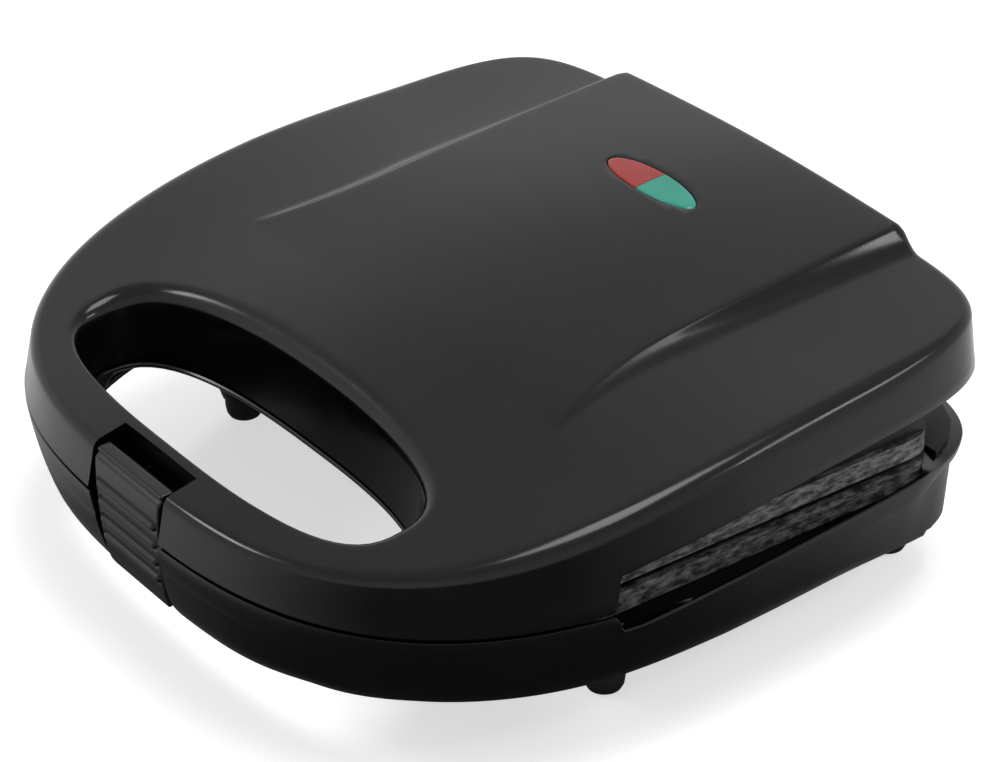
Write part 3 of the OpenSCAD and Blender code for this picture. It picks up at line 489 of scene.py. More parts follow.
@dataclass
class LidCasing:
    """Upper moulding: drafted side, rounded rim, raised panel, handle opening and latch notch."""

    form: BodyForm
    columns: int = 400
    wall: float = 1.9
    rim_round: tuple[float, float, float] = (2.1, 5.0, 2.4)
    grip_round: float = 3.4
    notch_half: float = 17.3
    notch_y: float = -98.4
    spacing: float = 2.3
    lens_half: tuple[float, float] = (18.6, 5.45)
    lens_edge: tuple[tuple[float, float], ...] = ((0.3, 0.0), (0.1, 0.06), (0.0, 0.3), (0.0, 3.4))
    edge_flat: float = 0.5
    edge_chamfer: float = 0.14
    front_edge: float = 0.9
    rear_edge: float = 1.4
    hole_k0: float = 0.986
    hole_rate: float = 0.003244
    hole_z0: float = 37.4
    crease_near: tuple[float, ...] = (
        -2.4, -1.4, -0.8, -0.4, -0.1, 0.2, 0.5, 0.9, 1.4, 2.0, 2.7, 3.5, 4.4, 5.4, 6.5, 7.8)

    def rounding(self, y: Array) -> Array:
        """Size of the rim's rounding: tight at the front and the rear, full along the sides."""
        front, side, rear = self.rim_round
        return front + (side - front) * ease((y + 106) / 70) + (rear - side) * ease((y - 40) / 45)

    def side_rows(self) -> list[Array]:
        """Rows of points from the lower edge up the side and over the rim."""
        f, t = self.form, self.form.columns_at(self.notch_half, self.columns)

        def row(inset: Array | float, z: Array) -> Array:
            """One row at an inset and a height."""
            inset = np.broadcast_to(inset, t.shape)
            p = f.ring(t, inset, self.notch_half)
            return xyz(p[:, 0], p[:, 1], z)

        base = f.ring(t, np.zeros_like(t), self.notch_half)
        low = f.lid_edge_z(base[:, 1])
        corner = f.ring(t, np.full_like(t, f.draft), self.notch_half)
        top = f.top_z(corner[:, 0], corner[:, 1])

        def lean(z: Array) -> Array:
            """Inset of the drafted side at a height."""
            return f.draft * clamp01((z - f.lid_low) / (top - f.lid_low))

        flat, chamfer = self.edge_flat, self.edge_chamfer
        edge = ((flat, 0.0), (chamfer, chamfer), (0.0, flat))
        rows = [row(lean(low) + back, low + up) for back, up in edge]
        r = self.rounding(corner[:, 1])
        shoulder = top - r
        for s in (0.2, 0.4, 0.6, 0.8, 1.0):
            z = low + flat + (shoulder - low - flat) * s
            rows.append(row(lean(z), z))
        inner = f.ring(t, f.draft + r, self.notch_half)
        p2 = xyz(inner[:, 0], inner[:, 1], f.top_z(inner[:, 0], inner[:, 1]))
        p1 = xyz(corner[:, 0], corner[:, 1], top)
        return rows + bend(rows[-1], p1, p2, 9)

    def grip_rows(self) -> list[Array]:
        """Rows of points from the top over the opening's edge and down its wall."""
        f = self.form
        a = np.linspace(0, 360, 180, endpoint=False)
        k = np.full_like(a, 1.06)
        for _ in range(6):
            p = f.grip_at(a, k)
            z = f.top_z(p[:, 0], p[:, 1])
            k = self.hole_k0 + self.hole_rate * (z - self.hole_z0)
        s = np.sin(np.radians(a))
        front = ease(-s * 2.2)
        r = self.grip_round + self.rear_edge * ease(s * 1.5) - front * (self.grip_round - self.front_edge)
        q = f.grip_at(a, k, r)
        p0 = xyz(q[:, 0], q[:, 1], f.top_z(q[:, 0], q[:, 1]))
        p1 = xyz(p[:, 0], p[:, 1], z)

        def on_wall(height: Array) -> Array:
            """Wall points at a height."""
            w = f.grip_at(a, self.hole_k0 + self.hole_rate * (height - self.hole_z0))
            return xyz(w[:, 0], w[:, 1], height)

        foot = z - r * 1.15
        rows = [p0] + bend(p0, p1, on_wall(foot), 9)
        low = f.lid_low + 0.5
        for i in (0.25, 0.5, 0.75, 1.0):
            rows.append(on_wall(foot + (low - foot) * i))
        edge = f.grip_at(a, self.hole_k0 + self.hole_rate * (f.lid_low - self.hole_z0), 0.4)
        rows.append(xyz(edge[:, 0], edge[:, 1], f.lid_low))
        return rows

    def lens_rows(self) -> list[Array]:
        """Rows of points round the indicator window's recess."""
        f = self.form
        a = np.radians(np.linspace(0, 360, 72, endpoint=False))
        frame = f.lens_frame()
        rows = []
        half_x, half_y = self.lens_half
        for out, down in self.lens_edge:
            local = [((half_x + out) * math.cos(v), (half_y + out) * math.sin(v), 0) for v in a]
            p = np.array([frame @ Vector(v) for v in local])
            rows.append(xyz(p[:, 0], p[:, 1], f.top_z(p[:, 0], p[:, 1]) - down))
        return rows

    def spots(self) -> Array:
        """Inner points of the top, close together across the edge of the raised panel."""
        f = self.form
        near = f.panel_half_w + np.array(self.crease_near)
        xs = np.linspace(-113, 113, int(226 / self.spacing))
        coarse = lattice(xs, np.linspace(-111, 99, int(210 / self.spacing)))
        swing = f.panel_w(coarse[:, 1]) - f.panel_half_w
        across = np.abs(coarse[:, 0]) - swing
        band = (across > 56.4) & (across < 69) & (coarse[:, 1] > -28)
        fine = lattice(np.concatenate([-near[::-1], near]), np.linspace(-27, 99, 84))
        fine[:, 0] += np.sign(fine[:, 0]) * (f.panel_w(fine[:, 1]) - f.panel_half_w)
        return np.concatenate([coarse[~band], fine])

    def build(self) -> bpy.types.Object:
        """Builds the casing."""
        f, skin = self.form, Skin()
        side, grip, lens = self.side_rows(), self.grip_rows(), self.lens_rows()
        skin.grid(side)
        skin.grid(grip, closed=True)
        skin.grid(lens, closed=True)
        across = np.linspace(-self.notch_half, self.notch_half, 19)
        level = np.full_like(across, self.notch_y)
        back = xyz(across, level, f.top_z(across, level))
        rim = side[-1]
        cheek = {}
        for s, end in ((1, 0), (-1, -1)):
            start = rim[end, 1]
            ys = np.linspace(start, self.notch_y, 5)[1:-1]
            cheek[s] = xyz(np.full(3, s * self.notch_half), ys, f.top_z(np.full(3, self.notch_half), ys))
            column = [r[end] for r in side]
            foot = [s * self.notch_half, self.notch_y, f.lid_low]
            last = back[-1] if s > 0 else back[0]
            loop = np.array([*column, *cheek[s], last, foot])
            skin.add(loop, [tuple(range(len(loop)))])
        outer = np.concatenate([rim, cheek[-1], back, cheek[1][::-1]])
        skin.sheet(outer, [grip[0], lens[0]], self.spots(), f.top_z)
        low = xyz(across, level, f.lid_low)
        skin.grid([back, back * 0.5 + low * 0.5, low])
        return skin.object("lid_casing", wall=self.wall)


@dataclass
class BaseCasing:
    """Lower moulding: tub with a rolled underside, rear lip, latch slot, finger hollow and foot pads."""

    form: BodyForm
    columns: int = 400
    wall: float = 1.9
    slot_y: float = -101.5
    spacing: float = 2.2
    side: tuple[tuple[float, float], ...] = (
        (1.0, 36.4), (1.1, 35), (2.2, 30), (4.2, 24), (7, 20), (9.7, 17.5), (14, 15.3))
    floor: tuple[tuple[float, float], ...] = ((9.7, 17.5), (14, 15.3), (20, 13.2), (28, 12), (200, 12))
    front_roll: float = 1.5
    lip_inset: float = 1.2
    lip_tuck: float = 2.7
    corner_inset: float = 4.4
    corner_fill: float = 7.0
    crease_round: float = 5.0
    flange: tuple[float, float] = (9.5, 3.6)
    flange_rise: tuple[float, float] = (1.2, 0.2)
    slot_top: float = 42.0
    slot_zs: tuple[float, float, float] = (12, 40, 46)
    slot_halves: tuple[float, float, float] = (15.2, 16.6, 17.3)
    well_r: float = 3.6
    inlet_r: float = 5.6
    grip_edge: float = 2.2
    feet: tuple[tuple[float, float], ...] = ((85.5, -23), (80.5, 76))
    pad: tuple[tuple[float, float], ...] = ((0.3, 7), (5.8, 7), (6.25, 7.3), (8.5, 15))
    screws: tuple[tuple[float, float, float], ...] = ((88, -66, 34), (80, 80, 22))
    inlet_z: float = 26.0

    def slot_half(self, z: float) -> float:
        """Half width of the latch slot at a height."""
        return float(np.interp(z, self.slot_zs, self.slot_halves))

    def profile(self) -> list[Array]:
        """Inset and height down the side, smoothed through the named sizes."""
        pts = np.array(self.side, float)
        out = []
        for i in range(1, len(pts) - 2):
            a, b, c, d = pts[i - 1 : i + 3]
            for s in (0.0, 1 / 3, 2 / 3):
                bow, twist = 2 * a - 5 * b + 4 * c - d, 3 * b - a - 3 * c + d
                out.append(0.5 * (2 * b + (c - a) * s + bow * s**2 + twist * s**3))
        return out + [pts[-2]]

    def rear_corner(self, x: Array, y: Array) -> Array:
        """1 at the two rear corners, where the side stands upright, and 0 elsewhere."""
        return ease((y - 34) / 52) * ease((np.abs(x) - 52) / 44)

    def height(self, x: Array, y: Array) -> Array:
        """Height of the underside."""
        ring = self.form.outline_at(np.linspace(0, 360, 500, endpoint=False))
        inset = nearest(np.column_stack([x, y]), ring) + self.corner_fill * self.rear_corner(x, y)
        z = np.interp(inset, *zip(*self.floor))
        return soft_max(z, self.form.scoop(x, y), self.crease_round)

    def side_rows(self) -> list[Array]:
        """Rows of points from the upper edge down the side."""
        f = self.form
        t = f.columns_at(self.slot_half(self.slot_top), self.columns)
        plain = f.outline_at(t)
        corner = ease((plain[:, 1] - 60) / 16)
        lip = -self.lip_inset * corner
        tuck = (self.lip_inset + self.lip_tuck) * corner
        ahead = -plain[:, 1]
        roll = self.front_roll * ease((ahead - 30) / 50) * (1 - ease((ahead - 84) / 18))
        edge = f.base_edge_z(plain[:, 1])

        def row(inset: Array | float, z: Array | float) -> Array:
            """One row at an inset and a height."""
            z = np.broadcast_to(z, t.shape)
            p = f.ring(t, np.broadcast_to(inset, t.shape), self.slot_half(float(z[0])))
            return xyz(p[:, 0], p[:, 1], z)

        rows = [row(0.5 - lip + w * corner, edge + h * corner) for w, h in zip(self.flange, self.flange_rise)]
        rows += [row(0.5 - lip, edge), row(0.14 - lip, edge - 0.14), row(-lip, edge - 0.5)]
        rows.append(row(0.3 - lip, edge * 0.4 + 22.6))
        rows += bend(rows[-1], row(0.75 - lip, 36.6), row(0.85 - lip + 0.3 * tuck, 36.3), 3)
        rows.append(row(0.95 + 0.75 * tuck, 35.9))
        near = self.rear_corner(plain[:, 0], plain[:, 1])
        latch = ease((ahead - 102) / 8)
        for inset, z in self.profile():
            high, low = 0.08 + 0.92 * clamp01((z - 20) / 14), clamp01((33 - z) / 9)
            side = inset * (1 - 0.22 * latch) + tuck * high + roll * low
            upright = self.corner_inset + 0.09 * (30 - z) + 1.3 * clamp01((17.5 - z) / 2.2)
            rows.append(row(side + (upright - side) * near, z))
        return rows

    def build(self) -> bpy.types.Object:
        """Builds the casing."""
        f, skin = self.form, Skin()
        side = self.side_rows()
        last = side[-1]
        hollow = f.scoop(last[:, 0], last[:, 1])
        last[:, 2] = np.maximum(last[:, 2], soft_max(last[:, 2], hollow, self.crease_round))
        rows = np.array(side)
        m, n = rows.shape[:2]
        mid = (rows[:-1, :-1] + rows[1:, 1:]) / 2
        hole = (mid[..., 1] > 60) & (np.hypot(mid[..., 0], mid[..., 2] - self.inlet_z) < self.inlet_r)
        cells = ((i * n + j, i, j) for i in range(m - 1) for j in range(n - 1))
        skin.add(rows, [(k, k + 1, k + n + 1, k + n) for k, i, j in cells if not hole[i, j]])
        slot = []
        for r in side:
            half = r[0, 0]
            xs = np.linspace(half, -half, 15)
            slot.append(xyz(xs, np.full(15, max(self.slot_y, r[0, 1] + 0.6)), r[0, 2]))
        skin.grid(slot)
        skin.grid([[r[0], s[0]] for r, s in zip(side, slot)])
        skin.grid([[r[-1], s[-1]] for r, s in zip(side, slot)])
        a = np.linspace(0, 360, 160, endpoint=False)
        grip = f.grip_at(a, 1.0)
        out = f.grip_at(a, 1.0, self.grip_edge)
        zg, zo = self.height(grip[:, 0], grip[:, 1]), self.height(out[:, 0], out[:, 1])
        p0, p1 = xyz(out[:, 0], out[:, 1], zo), xyz(grip[:, 0], grip[:, 1], zg)
        high = np.full_like(zg, f.base_top)
        rise = np.minimum(zg + self.grip_edge, (zg + high) / 2)
        rows = [p0] + bend(p0, p1, xyz(grip[:, 0], grip[:, 1], rise), 5)
        rows += [xyz(grip[:, 0], grip[:, 1], rise + (high - 0.4 - rise) * s) for s in (0.5, 1.0)]
        lip = f.grip_at(a, 1.0, 0.4)
        rows.append(xyz(lip[:, 0], lip[:, 1], high))
        skin.grid(rows, closed=True)
        wells = []
        c = np.radians(np.linspace(0, 360, 28, endpoint=False))
        for sx in (-1, 1):
            for x, y, depth in self.screws:
                px, py = sx * x + self.well_r * np.cos(c), y + self.well_r * np.sin(c)
                z = self.height(px, py)
                well = [xyz(px, py, z), xyz(px, py, np.full_like(z, depth))]
                skin.grid(well, closed=True)
                wells.append(well[0])
            for x, y in self.feet:
                pad = [xyz(sx * x + r * np.cos(c), y + r * np.sin(c), z) for r, z in self.pad]
                skin.grid(pad, closed=True)
        outer = np.concatenate([last, slot[-1][::-1][1:-1]])
        xs = np.linspace(-112, 112, int(224 / self.spacing))
        spots = lattice(xs, np.linspace(-110, 95, int(205 / self.spacing)))
        skin.sheet(outer, [rows[0], *wells], spots, self.height)
        return skin.object("base_casing", up=(0, -0.2, -1), wall=self.wall)


@dataclass
class LatchLever:
    """Swinging latch: curved panel with a lighter top facet, raised finger ribs and a return lip."""

    profile: tuple[tuple[float, float], ...] = (
        (-104.3, 56.0), (-108.0, 55.8), (-108.6, 55.2), (-107.7, 54.4), (-109.1, 53.4), (-109.4, 51.5),
        (-109.8, 46), (-109.8, 39), (-109.5, 32), (-108.8, 26), (-107.9, 22.4), (-106.8, 20.3),
        (-105.4, 20.4), (-104.3, 22.4), (-104.2, 25.2), (-105.6, 25.8), (-107.2, 28.4), (-107.7, 34),
        (-107.6, 41), (-106.9, 46.6), (-104.5, 51.2))
    ribs: int = 4
    rib_z: float = 46.3
    rib_pitch: float = 5.35
    rib_r: float = 1.15
    rib_stand: float = 0.8
    rib_groove: float = 0.3
    edge_round: float = 0.8
    edge_fall: float = 0.68
    corner_z: float = 23.2
    corner_r: float = 3.0
    face_top: float = 51.2
    face_y: float = -107.9
    pivot: tuple[float, float] = (-103.0, 49.5)
    barrel: tuple[tuple[float, float], ...] = (
        (-13.5, 1.6), (-13.5, 2.6), (-13.1, 3), (13.1, 3), (13.5, 2.6), (13.5, 1.6), (-13.5, 1.6))
    across: int = 110
    step: float = 0.24

    def half_w(self, z: Array) -> Array:
        """Half width at a height, with the lower corners rounded."""
        w = 14.7 + 0.9 * clamp01((z - 22) / 30)
        low = clamp01((self.corner_z - z) / self.corner_r)
        return w - self.corner_r * (1 - np.sqrt(np.maximum(0, 1 - low**2)))

    def path(self) -> tuple[Array, Array]:
        """Closed side profile in short steps, its corners rounded, and its outward normals."""
        p = np.array(self.profile)
        pts = []
        for a, b in zip(p, np.roll(p, -1, axis=0)):
            n = max(2, int(np.hypot(*(b - a)) / self.step))
            pts += [a + (b - a) * i / n for i in range(n)]
        q = np.array(pts)
        for _ in range(8):
            q = 0.25 * np.roll(q, 1, 0) + 0.5 * q + 0.25 * np.roll(q, -1, 0)
        d = np.roll(q, -1, 0) - np.roll(q, 1, 0)
        d /= np.linalg.norm(d, axis=1, keepdims=True)
        n = np.column_stack([d[:, 1], -d[:, 0]])
        if (n[:, 0] * (q[:, 0] - q[:, 0].mean())).sum() < 0:
            n = -n
        return q, n

    def rib_rise(self, x: Array, z: Array) -> Array:
        """How far the finger ribs stand out at a place on the face."""
        out = np.zeros(np.broadcast(x, z).shape)
        groove = np.zeros_like(out)
        for i in range(self.ribs):
            z0 = self.rib_z - i * self.rib_pitch
            reach = self.half_w(np.array(z0)) - 1.3 - self.rib_r
            along = np.maximum(0, np.abs(x) - reach)
            d = np.hypot(along, z - z0) / self.rib_r
            out = np.maximum(out, self.rib_stand * np.sqrt(np.maximum(0, 1 - d**2)))
            groove = np.minimum(groove, -self.rib_groove * np.exp(-(((d - 1.2) / 0.3) ** 2)))
        return np.where(out > 0.02, out, groove)

    def build(self) -> bpy.types.Object:
        """Builds the lever."""
        q, n = self.path()
        u = np.linspace(-1, 1, self.across)
        u = np.sign(u) * (1 - (1 - np.abs(u)) ** 1.35)
        face = clamp01(-n[:, 0] * 3 - 0.6) * (q[:, 1] < self.face_top) * (q[:, 0] < self.face_y)
        rows = []
        for i in range(len(u)):
            w = self.half_w(q[:, 1])
            x = u[i] * w
            side = np.maximum(0, np.abs(x) - (w - self.edge_round)) / self.edge_round
            tuck = self.edge_fall * (1 - np.sqrt(np.maximum(0, 1 - np.minimum(side, 1) ** 2)))
            rise = self.rib_rise(x, q[:, 1]) * face - tuck
            rows.append(xyz(x, q[:, 0] + n[:, 0] * rise, q[:, 1] + n[:, 1] * rise))
        skin = Skin()
        skin.grid(rows, closed=True)
        count = len(q)
        for row in (rows[0], rows[-1]):
            skin.add(row, [tuple(range(count))])
        c = np.radians(np.linspace(0, 360, 40, endpoint=False))
        barrel = []
        for x, r in self.barrel:
            barrel.append(xyz(x, self.pivot[0] + r * np.cos(c), self.pivot[1] + r * np.sin(c)))
        skin.grid(barrel, closed=True)
        return skin.object("latch_lever", up=(0, -1, 0), crease=38)


class Side(Enum):
    """The two halves of the indicator window."""

    RED = -1
    GREEN = 1


@dataclass
class IndicatorWindow:
    """One half of the oval indicator window: a domed lens with facets moulded in its face."""

    form: BodyForm
    side: Side
    half: tuple[float, float] = (18.35, 5.2)
    gap: float = 0.08
    proud: float = 0.35
    dome: float = 0.35
    flat: float = 0.93
    edge_drop: float = 0.45
    depth: float = 2.6
    facet: float = 0.07
    facet_rate: float = 3.4
    rings: int = 26

    def build(self) -> bpy.types.Object:
        """Builds the lens."""
        s = self.side.value
        frame = self.form.lens_frame()
        a = np.linspace(-90, 90, 61)
        rows = []
        for r in np.concatenate([[0.0], np.linspace(0.04, 1, self.rings)]):
            u = s * (self.gap + r * (self.half[0] - self.gap) * np.cos(np.radians(a)))
            v = r * self.half[1] * np.sin(np.radians(a))
            edge = np.maximum(0, r - self.flat) / (1 - self.flat)
            z = self.proud * (1 - self.dome * r**2) - self.edge_drop * edge**2
            facets = np.sin(u * self.facet_rate) * np.sin(v * self.facet_rate)
            z = z + self.facet * facets * clamp01((self.flat - r) * 12)
            rows.append((u, v, z))
        skin = Skin()
        grid = []
        for u, v, z in rows:
            p = np.array([frame @ Vector((x, y, 0)) for x, y in zip(u, v)])
            grid.append(xyz(p[:, 0], p[:, 1], self.form.top_z(p[:, 0], p[:, 1]) + z))
        grid.append(grid[-1] - np.array([0, 0, self.depth]))
        skin.grid(grid)
        ends = [g[0] for g in grid[::-1]] + [g[-1] for g in grid[1:]]
        skin.add(np.array(ends), [tuple(range(len(ends)))])
        skin.add(grid[-1], [tuple(range(len(a)))])
        return skin.object(f"{self.side.name.lower()}_window", crease=50)


# ---- finishes ----


def socket(group: bpy.types.NodeTree, name: str, kind: str, way: str, value: float | None = None) -> None:
    """Adds a named socket to a node group."""
    made = group.interface.new_socket(name=name, in_out=way, socket_type="NodeSocket" + kind)
    if value is not None:
        made.default_value = value


class Nodes:
    """Adds nodes to one tree and links them."""

    def __init__(self, tree: bpy.types.NodeTree) -> None:
        """Keeps the tree."""
        self.tree = tree

    def add(self, kind: str, values: dict | None = None, **props) -> bpy.types.Node:
        """Adds a node.

        Args:
            kind: the node type without its ShaderNode prefix.
            values: input values, or output sockets to link to the inputs.
            props: the node's own settings.

        Returns:
            The new node.
        """
        name = kind if kind.startswith("NodeGroup") else "ShaderNode" + kind
        node = self.tree.nodes.new(name)
        for key, value in props.items():
            setattr(node, key, value)
        for key, value in (values or {}).items():
            if isinstance(value, bpy.types.NodeSocket):
                self.tree.links.new(value, node.inputs[key])
            else:
                node.inputs[key].default_value = value
        return node

    def mix(self, mask: bpy.types.NodeSocket, a, b) -> bpy.types.NodeSocket:
        """Blends two colours by a mask."""
        node = self.add("Mix", data_type="RGBA")
        self.tree.links.new(mask, node.inputs[0])
        for index, value in ((6, a), (7, b)):
            if isinstance(value, bpy.types.NodeSocket):
                self.tree.links.new(value, node.inputs[index])
            else:
                node.inputs[index].default_value = (*value, 1)
        return node.outputs[2]

    def span(
        self, value: bpy.types.NodeSocket, low: float, high: float, start: float = 0.0, end: float = 1.0
    ) -> bpy.types.NodeSocket:
        """Maps a mask to a range."""
        ends = {"From Min": start, "From Max": end, "To Min": low, "To Max": high}
        node = self.add("MapRange", {"Value": value, **ends})
        return node.outputs[0]


def moulded_grain() -> bpy.types.NodeTree:
    """Fine skin of a moulded or cast surface: a height, and a slow cloudy mask."""
    group = bpy.data.node_groups.new("moulded_grain", "ShaderNodeTree")
    socket(group, "Scale", "Float", "INPUT", 900.0)
    socket(group, "Detail", "Float", "INPUT", 3.0)
    socket(group, "Height", "Float", "OUTPUT")
    socket(group, "Clouds", "Float", "OUTPUT")
    n = Nodes(group)
    inp, out = n.add("NodeGroupInput"), n.add("NodeGroupOutput")
    where = n.add("TexCoord").outputs["Object"]
    scale, detail = inp.outputs["Scale"], inp.outputs["Detail"]
    fine = n.add("TexNoise", {"Vector": where, "Scale": scale, "Detail": detail, "Roughness": 0.6})
    slow = n.add("TexNoise", {"Vector": where, "Scale": 34.0, "Detail": 4.0, "Roughness": 0.55})
    group.links.new(fine.outputs[0], out.inputs["Height"])
    group.links.new(slow.outputs[0], out.inputs["Clouds"])
    return group


def handling_marks() -> bpy.types.NodeTree:
    """Faint wipe marks and settled dust on a handled surface, as masks."""
    group = bpy.data.node_groups.new("handling_marks", "ShaderNodeTree")
    socket(group, "Scale", "Float", "INPUT", 60.0)
    socket(group, "Wipes", "Float", "OUTPUT")
    socket(group, "Dust", "Float", "OUTPUT")
    n = Nodes(group)
    inp, out = n.add("NodeGroupInput"), n.add("NodeGroupOutput")
    where = n.add("TexCoord").outputs["Object"]
    turn, stretch = (0.3, 0.2, 0.9), (1.0, 0.16, 1.0)
    drawn = n.add("Mapping", {"Vector": where, "Rotation": turn, "Scale": stretch}).outputs[0]
    scale = inp.outputs["Scale"]
    wipe = n.add("TexNoise", {"Vector": drawn, "Scale": scale, "Detail": 5.0, "Roughness": 0.62})
    wipes = n.span(wipe.outputs[0], 0.0, 1.0, 0.46, 0.72)
    speck = n.add("TexVoronoi", {"Vector": where, "Scale": 420.0, "Randomness": 1.0})
    near = n.span(speck.outputs["Distance"], 1.0, 0.0, 0.03, 0.16)
    face = n.add("TexCoord").outputs["Normal"]
    up = n.add("SeparateXYZ", {0: face}).outputs[2]
    level = n.span(up, 0.0, 1.0, 0.35, 0.95)
    dust = n.add("Math", {0: near, 1: level}, operation="MULTIPLY")
    group.links.new(wipes, out.inputs["Wipes"])
    group.links.new(dust.outputs[0], out.inputs["Dust"])
    return group


DUST = (0.16, 0.155, 0.15)
BARE_LOW = (0.022, 0.022, 0.023)
BARE_HIGH = (0.30, 0.30, 0.295)
BARE_FROM = (0.1035, 0.1045)  # the castings' side faces lie beyond this distance from the middle, m
CAST_STRETCH = (500.0, 190.0, 620.0)
BRUSH_STRETCH = (40.0, 900.0, 900.0)
WIPE_ROUGH = 0.07  # what a wipe mark adds to the roughness


@dataclass(frozen=True)
class Finish:
    """One finish: its colours, its gloss and its grain."""

    name: str
    colour: tuple[float, float, float]
    second: tuple[float, float, float]
    rough: tuple[float, float]
    grain: float
    bump: float
    metal: float = 0.0
    specular: float = 0.5
    clear: float = 0.0
    brushed: bool = False
    coated: bool = False
    marks: float = 0.0

    def make(self, groups: dict[str, bpy.types.NodeTree]) -> bpy.types.Material:
        """Builds the material.

        Args:
            groups: the shared node groups by name.

        Returns:
            The finished material.
        """
        mat = bpy.data.materials.new(self.name)
        mat.use_nodes = True
        tree = mat.node_tree
        tree.nodes.clear()
        n = Nodes(tree)
        grain = n.add("Group", node_tree=groups["moulded_grain"])
        grain.inputs["Scale"].default_value = self.grain
        marks = n.add("Group", node_tree=groups["handling_marks"])
        clouds = n.span(grain.outputs["Clouds"], 0.0, 1.0, 0.35, 0.65)
        colour = n.mix(clouds, self.colour, self.second)
        if self.marks:
            dust = n.span(marks.outputs["Dust"], 0.0, self.marks)
            colour = n.mix(dust, colour, DUST)
        rough = n.span(clouds, *self.rough)
        if self.marks:
            worn = n.span(marks.outputs["Wipes"], 0.0, WIPE_ROUGH)
            rough = n.add("Math", {0: rough, 1: worn}, operation="ADD").outputs[0]
        height = grain.outputs["Height"]
        if self.coated:
            where = n.add("TexCoord").outputs["Object"]
            drawn = n.add("Mapping", {"Vector": where, "Scale": CAST_STRETCH}).outputs[0]
            cast = {"Vector": drawn, "Scale": 1.0, "Detail": 6.0, "Roughness": 0.72}
            pits = n.add("TexNoise", cast).outputs[0]
            bare = n.mix(n.span(pits, 0.0, 1.0, 0.42, 0.66), BARE_LOW, BARE_HIGH)
            across = n.add("SeparateXYZ", {0: where}).outputs[0]
            rim = n.add("Math", {0: across}, operation="ABSOLUTE").outputs[0]
            # faces nearer the middle keep the finish's near-black colour, which is the coating's colour and
            # partly painted shade for the gap between the plates
            colour = n.mix(n.span(rim, 0.0, 1.0, *BARE_FROM), colour, bare)
            height = n.add("Math", {0: height, 1: pits}, operation="ADD").outputs[0]
        if self.brushed:
            where = n.add("TexCoord").outputs["Object"]
            drawn = n.add("Mapping", {"Vector": where, "Scale": BRUSH_STRETCH}).outputs[0]
            height = n.add("TexNoise", {"Vector": drawn, "Scale": 1.0, "Detail": 2.0}).outputs[0]
        bump = n.add("Bump", {"Height": height, "Strength": 1.0, "Distance": self.bump * MM})
        shade = n.add("BsdfPrincipled", {"Base Color": colour, "Roughness": rough, "Normal": bump.outputs[0]})
        shade.inputs["Metallic"].default_value = self.metal
        shade.inputs["Specular IOR Level"].default_value = self.specular
        shade.inputs["Transmission Weight"].default_value = self.clear
        out = n.add("OutputMaterial")
        tree.links.new(shade.outputs[0], out.inputs[0])
        return mat


FINISHES = {
    "gloss_shell": Finish(
        "gloss_black_plastic", (0.0022, 0.0022, 0.0024), (0.0036, 0.0036, 0.0038),
        (0.13, 0.17), 1500, 0.006, specular=0.29, marks=0.05),
    "satin_latch": Finish(
        "satin_black_plastic", (0.004, 0.004, 0.0043), (0.007, 0.007, 0.0074),
        (0.24, 0.31), 1700, 0.02, specular=0.32, marks=0.07),
    "inner_moulding": Finish(
        "dark_inner_plastic", (0.006, 0.006, 0.0064), (0.010, 0.010, 0.0105),
        (0.44, 0.55), 1300, 0.05, specular=0.35, marks=0.05),
    # near-black: the coating's own colour, made darker still as painted shade for the gap between the plates
    "nonstick_casting": Finish(
        "coated_casting_and_painted_shade", (0.005, 0.005, 0.0053), (0.009, 0.009, 0.0094),
        (0.42, 0.6), 720, 0.22, specular=0.35, coated=True),
    "heater_sheath": Finish(
        "heater_sheath", (0.20, 0.19, 0.17), (0.30, 0.28, 0.25), (0.35, 0.55), 1200, 0.04, metal=1.0),
    "plated_steel": Finish(
        "plated_steel", (0.52, 0.52, 0.50), (0.62, 0.62, 0.60),
        (0.22, 0.38), 1400, 0.02, metal=1.0, brushed=True),
    "steel_pin": Finish(
        "ground_steel", (0.50, 0.50, 0.51), (0.60, 0.60, 0.61),
        (0.16, 0.26), 1400, 0.01, metal=1.0, brushed=True),
    "ceramic": Finish("fired_ceramic", (0.62, 0.60, 0.54), (0.72, 0.70, 0.64), (0.5, 0.65), 1100, 0.06),
    "wire_sleeve": Finish("wire_sleeve", (0.52, 0.50, 0.44), (0.62, 0.60, 0.55), (0.5, 0.7), 2600, 0.08),
    "rubber": Finish(
        "black_rubber", (0.010, 0.010, 0.010), (0.018, 0.018, 0.018), (0.62, 0.78), 1500, 0.07, specular=0.4),
    "red_lens": Finish(
        "red_lens", (0.27, 0.020, 0.018), (0.36, 0.035, 0.03), (0.2, 0.28), 2600, 0.02, specular=0.3),
    "green_lens": Finish(
        "green_lens", (0.022, 0.26, 0.19), (0.045, 0.34, 0.26), (0.2, 0.28), 2600, 0.03, specular=0.3),
    "lamp_glass": Finish(
        "lamp_glass", (0.75, 0.74, 0.70), (0.82, 0.81, 0.78), (0.08, 0.14), 1800, 0.01, clear=0.6),
}


LAMPS = (  # name, place and size in metres, power in watts
    ("top_lamp", (0.2, 0.2, 1.6), (0.8, 0.7), 13),
    ("right_lamp", (1.2, 1.15, 1.3), (0.7, 0.22), 5),
    ("left_lamp", (-1.05, -1.2, 1.2), (0.6, 0.3), 7),
)


